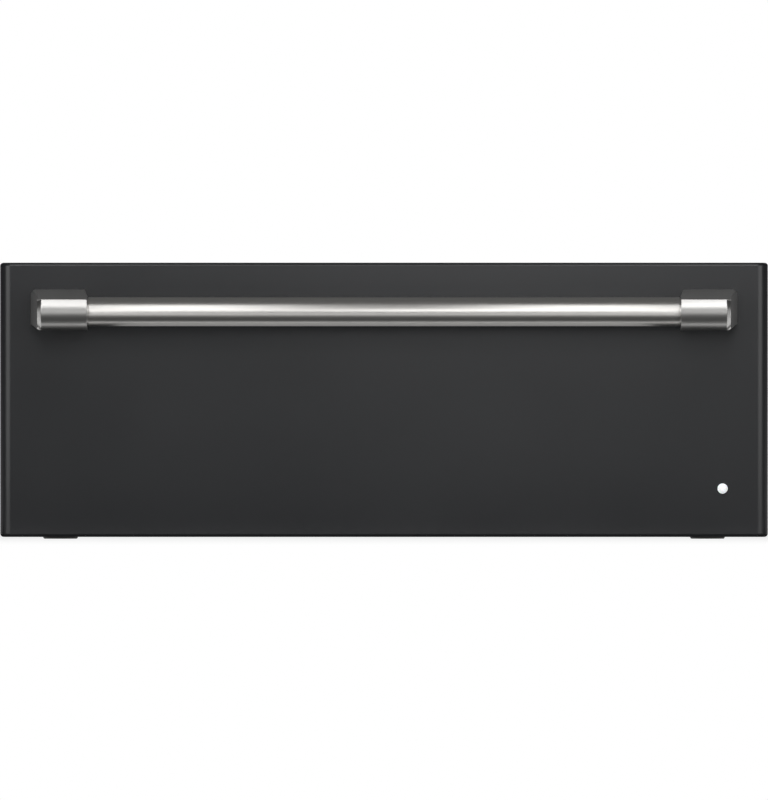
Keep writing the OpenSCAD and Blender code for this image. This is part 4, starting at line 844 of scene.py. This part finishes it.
# %% Hoods over the back slots
HOOD_W, HOOD_H, HOOD_RISE, HOOD_DROP = 32.5, 10.5, 2.8, 2.6
HOOD_T = 0.6
ROW_DROP, ROW_GAP, COLUMNS, COLUMN_PITCH = 48.0, 24.0, 12, 34.0
low, high = corners("back_panel")
rows = [high.z - ROW_DROP - ROW_GAP, high.z - ROW_DROP]
bm = bmesh.new()
for z in rows:
    for k in range(COLUMNS):
        x = (k - (COLUMNS - 1) / 2) * COLUMN_PITCH
        ball = bmesh.ops.create_uvsphere(
            bm, u_segments=24, v_segments=12, radius=MM,
            matrix=Matrix.Translation(Vector((x, high.y, z - HOOD_DROP)) * MM)
            @ Matrix.Diagonal((HOOD_W / 2, HOOD_RISE, HOOD_H, 1.0)))["verts"]
        middles = {f: f.calc_center_median() / MM for v in ball for f in v.link_faces}
        spare = [f for f, c in middles.items() if c.y < high.y or c.z < z - HOOD_DROP]
        bmesh.ops.delete(bm, geom=spare, context="FACES")
hoods = piece("back_louvre_hoods", bm, "back_panel", stands_for=False, sharp=60.0, closed=False)
sheet_wall(hoods, HOOD_T, even=False)
print("hoods:", len(rows) * COLUMNS)

# %% Pressed beads
BEAD_RISE, BEAD_SUNK = 1.0, 0.1
TOP_BEAD_W, TOP_BEADS_X, TOP_ENDS = 14.0, (-240.0, -80.0, 80.0, 240.0), (70, 60)
SIDE_BEAD_W, SIDE_BEADS_Z, SIDE_ENDS = 12.0, (80.0, 130.5, 181.0), (60, 60)


def bead(bm, start, end, width, flat_axis):
    """A long low bead between two points, in mm, that rises from a panel along flat_axis."""
    start, end = Vector(start), Vector(end)
    ball = bmesh.ops.create_uvsphere(bm, u_segments=24, v_segments=12, radius=width / 2 * MM)["verts"]
    run = (end - start).normalized()
    for v in ball:
        v.co += run * math.copysign((end - start).length / 2 * MM, v.co.dot(run))
        v.co[flat_axis] *= 2 * BEAD_RISE / width
    bmesh.ops.translate(bm, verts=ball, vec=(start + end) / 2 * MM)


low, high = corners("top_cover")
level = high.z - BEAD_SUNK
bm = bmesh.new()
for x in TOP_BEADS_X:
    bead(bm, (x, low.y + TOP_ENDS[0], level), (x, high.y - TOP_ENDS[1], level), TOP_BEAD_W, 2)
piece("top_cover_beads", bm, "top_cover", stands_for=False, sharp=60.0, closed=False)
for side, node in ((-1, "side_panel_left"), (1, "side_panel_right")):
    low, high = corners(node)
    level = (high.x if side > 0 else low.x) - side * BEAD_SUNK
    bm = bmesh.new()
    for z in SIDE_BEADS_Z:
        bead(bm, (level, low.y + SIDE_ENDS[0], z), (level, high.y - SIDE_ENDS[1], z), SIDE_BEAD_W, 0)
    piece(node + "_beads", bm, node, stands_for=False, sharp=60.0, closed=False)
print("beads on the top and both sides")

# %% [markdown]
# ## Studio
# The photograph has a pure white background, so the world and the floor are white to the camera and to
# reflections, but they add almost nothing to the light on the object, which comes from the lamps. The
# floor fades to full white away from the object and keeps its shadow near it.

# %% Floor and world
def seen_directly(tree):
    """1 for rays from the camera, from gloss and through glass, and 0 for the light on the object."""
    path = add(tree, "ShaderNodeLightPath")
    first = add(tree, "ShaderNodeMath", {0: path.outputs["Is Camera Ray"],
                                         1: path.outputs["Is Glossy Ray"]}, operation="MAXIMUM")
    return add(tree, "ShaderNodeMath", {0: first.outputs[0], 1: path.outputs["Is Transmission Ray"]},
               operation="MAXIMUM").outputs[0]


def staged(name, bm):
    """Turns a bmesh into a part of the stage, which is no part of the object."""
    mesh = bpy.data.meshes.new(name)
    bm.to_mesh(mesh)
    bm.free()
    made = bpy.data.objects.new(name, mesh)
    bpy.context.scene.collection.objects.link(made)
    made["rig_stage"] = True
    return made


def blank(name):
    """A material without its shader, and its empty tree."""
    material = bpy.data.materials.new(name)
    material.use_nodes = True
    material.node_tree.nodes.clear()
    return material, material.node_tree


WHITE = (1.0, 1.0, 1.0, 1.0)
FILL = 0.01
world = bpy.data.worlds.new("white_studio")
bpy.context.scene.world = world
world.use_nodes = True
tree = world.node_tree
tone = add(tree, "ShaderNodeMix", {0: seen_directly(tree), 6: (FILL, FILL, FILL, 1.0), 7: WHITE},
           data_type="RGBA")
connect(tree, tree.nodes["Background"], {"Color": tone.outputs[2], "Strength": 1.0})

FLOOR_HALF = 8.0
FADE_FROM, FADE_TO, NEAR_GLOW = 0.5, 1.8, 0.84
bm = bmesh.new()
bmesh.ops.create_grid(bm, x_segments=1, y_segments=1, size=FLOOR_HALF)
floor = staged("floor", bm)
paper, tree = blank("white_backdrop_paper")
place = add(tree, "ShaderNodeTexCoord").outputs["Object"]
reach = add(tree, "ShaderNodeVectorMath", {0: place}, operation="LENGTH")
glow = add(tree, "ShaderNodeMapRange", {"Value": reach.outputs["Value"], "From Min": FADE_FROM,
                                        "From Max": FADE_TO, "To Min": NEAR_GLOW, "To Max": 1.0},
           interpolation_type="SMOOTHSTEP")
share = add(tree, "ShaderNodeMath", {0: glow.outputs[0], 1: seen_directly(tree)}, operation="MULTIPLY")
matt = add(tree, "ShaderNodeBsdfDiffuse", {"Color": linear("#f0f0f0")})
white = add(tree, "ShaderNodeEmission", {"Color": WHITE, "Strength": 1.0})
mixed = add(tree, "ShaderNodeMixShader", {0: share.outputs[0], 1: matt.outputs[0], 2: white.outputs[0]})
add(tree, "ShaderNodeOutputMaterial", {"Surface": mixed.outputs[0]})
floor.data.materials.append(paper)
print("floor", 2 * FLOOR_HALF, "m wide, fill", FILL)

# %% [markdown]
# The sheet and the bar tell where the lamps stood. The sheet is brightest a little right of its middle,
# so two narrow softboxes stand in front of that place, one above the other. The bar shines along its
# whole length, so wide ones stand further left and right, and they also draw the light line down each
# bent side edge. Tall ones above the bar's ends light the mounts' noses. A high one gives the light that
# casts the bar's shadow and draws no line of its own.

# %% Softboxes
def softbox(name, at, towards, width, height, radiance, glossy=True, only_on=None):
    """A rectangular area lamp of even radiance that the camera doesn't see, on all or on some pieces."""
    lamp = bpy.data.lights.new(name, "AREA")
    lamp.shape = "RECTANGLE"
    lamp.size = width
    lamp.size_y = height
    lamp.energy = radiance * math.pi * width * height
    made = bpy.data.objects.new(name, lamp)
    made.location = at
    made.rotation_euler = (Vector(towards) - Vector(at)).to_track_quat("-Z", "Y").to_euler()
    made.visible_camera = False
    made.visible_glossy = glossy
    bpy.context.scene.collection.objects.link(made)
    if only_on:
        made.light_linking.receiver_collection = only_on
    print(name, round(lamp.energy, 1), "W")


# Every lamp: name, place, aim, width and height, all in metres, and radiance
middle = (0.0, face_y, 0.14)
softbox("softbox_front_low", (0.09, -1.80, 0.42), (0.09, face_y, 0.30), 0.46, 0.30, 2.7)
softbox("softbox_front_high", (0.09, -1.80, 0.72), (0.09, face_y, 0.45), 0.46, 0.30, 1.3)
softbox("softbox_left", (-1.25, -1.65, 0.30), middle, 1.25, 0.5, 3.0)
softbox("softbox_right", (1.25, -1.65, 0.30), middle, 1.25, 0.5, 2.9)
for side, name in ((-1, "softbox_end_left"), (1, "softbox_end_right")):
    softbox(name, (side * 0.40, -1.17, 0.77), (side * 0.32, -0.32, 0.227), 0.34, 0.85, 2.4)
softbox("softbox_high", (0.08, -0.80, 1.0), (0.05, face_y, 0.16), 0.7, 0.4, 2.4, glossy=False)

# %% [markdown]
# Those lamps and the dark cards below make the front look as it does in the photograph, but they'd leave
# the plain metal case behind it dull from the other sides. Large dim softboxes above, beside and in front
# light the case, and light linking keeps them off the front's own pieces. Three small ones light only the
# handle: two for the noses of its mounts, and one low in front of the sheet for the light line under the
# bar. A wide one lights the sheet alone and draws the fine line along its top bend.

# %% Lamps for the case alone, the handle alone and the sheet alone
handle_names = {"handle_bar_turned", "handle_mount_left_soft", "handle_mount_right_soft"}
front_names = handle_names | {"front_skin_folded", "indicator_lens_moulded"}
case_pieces, handle_pieces, sheet_alone = (bpy.data.collections.new(name) for name in
                                           ("case_pieces", "handle_pieces", "sheet_alone"))
sheet_alone.objects.link(front)
for thing in bpy.context.scene.objects:
    if thing.type == "MESH" and thing.name not in front_names and not thing.get("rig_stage"):
        case_pieces.objects.link(thing)
    if thing.name in handle_names:
        handle_pieces.objects.link(thing)
ROOM = 0.7
for name, at, width, height in (("room_top", (0.0, 0.3, 2.9), 5.0, 5.0),
                                ("room_left", (-2.4, 0.3, 1.0), 4.0, 2.6),
                                ("room_right", (2.4, 0.3, 1.0), 4.0, 2.6),
                                ("room_front", (0.0, -4.5, 1.6), 6.0, 4.0)):
    softbox(name, at, (0.0, 0.0, 0.15), width, height, ROOM, only_on=case_pieces)
for side, name in ((-1, "handle_left"), (1, "handle_right")):
    softbox(name, (side * 0.335, -1.2, 0.36), (side * 0.335, -0.34, 0.225), 0.26, 0.27, 1.0,
            only_on=handle_pieces)
softbox("handle_under", (0.0, face_y - 0.002, 0.12), (0.0, -1.0, 0.12), 0.54, 0.12, 0.38,
        only_on=handle_pieces)
softbox("sheet_line", (0.0, -1.8, 0.93), (0.0, face_y, 0.27), 1.7, 0.28, 2.4, only_on=sheet_alone)

# %% [markdown]
# A shiny part mirrors the whole room, so the room is dark where the photograph's reflections are. Cards
# that only gloss sees lie on the floor and hang above, in front and at the sides. A strip of white floor
# is left between the two cards on the floor, and it draws the lower light line on the bar. A grey card
# high in front gives the upper half of the bar its soft tone.

# %% Dark cards
def flag(name, size, at, turn, tone):
    """A card of an even tone that only reflections see, turned about X or Y."""
    bm = bmesh.new()
    bmesh.ops.create_grid(bm, x_segments=1, y_segments=1, size=0.5, matrix=Matrix.Translation(at)
                          @ Matrix.Rotation(turn[0], 4, "X") @ Matrix.Rotation(turn[1], 4, "Y")
                          @ Matrix.Diagonal((*size, 1.0, 1.0)))
    card = staged(name, bm)
    card.visible_camera = False
    card.visible_diffuse = False
    card.visible_shadow = False
    board, tree = blank(name + "_board")
    dull = add(tree, "ShaderNodeEmission", {"Color": (tone, tone, tone, 1.0)})
    add(tree, "ShaderNodeOutputMaterial", {"Surface": dull.outputs[0]})
    card.data.materials.append(board)


# Every card: name, size and place in metres, turn, and tone
FLAT = (0.0, 0.0)
flag("flag_floor", (3.0, 0.40), (0.0, -0.535, 0.002), FLAT, 0.07)
flag("flag_far", (9.0, 4.0), (0.0, -3.4, 0.002), FLAT, 0.08)
flag("flag_foot", (3.0, 0.035), (0.0, -0.2675, 0.0015), FLAT, 0.05)
flag("flag_ceiling", (9.0, 12.0), (0.0, 0.0, 3.0), FLAT, 0.13)
flag("card_front_high", (2.0, 0.7), (0.0, -1.2, 1.15), (math.radians(-45), 0.0), 0.36)
flag("flag_room", (14.0, 7.0), (0.0, -5.5, 2.0), (math.radians(90), 0.0), 0.08)
for side, name in ((-1, "flag_side_left"), (1, "flag_side_right")):
    flag(name, (6.0, 8.0), (side * 2.6, 1.0, 1.5), (0.0, math.radians(90)), 0.03)
print("cards on the floor, above, in front and at both sides")

# %% View settings
bpy.context.scene.view_settings.view_transform = "Standard"
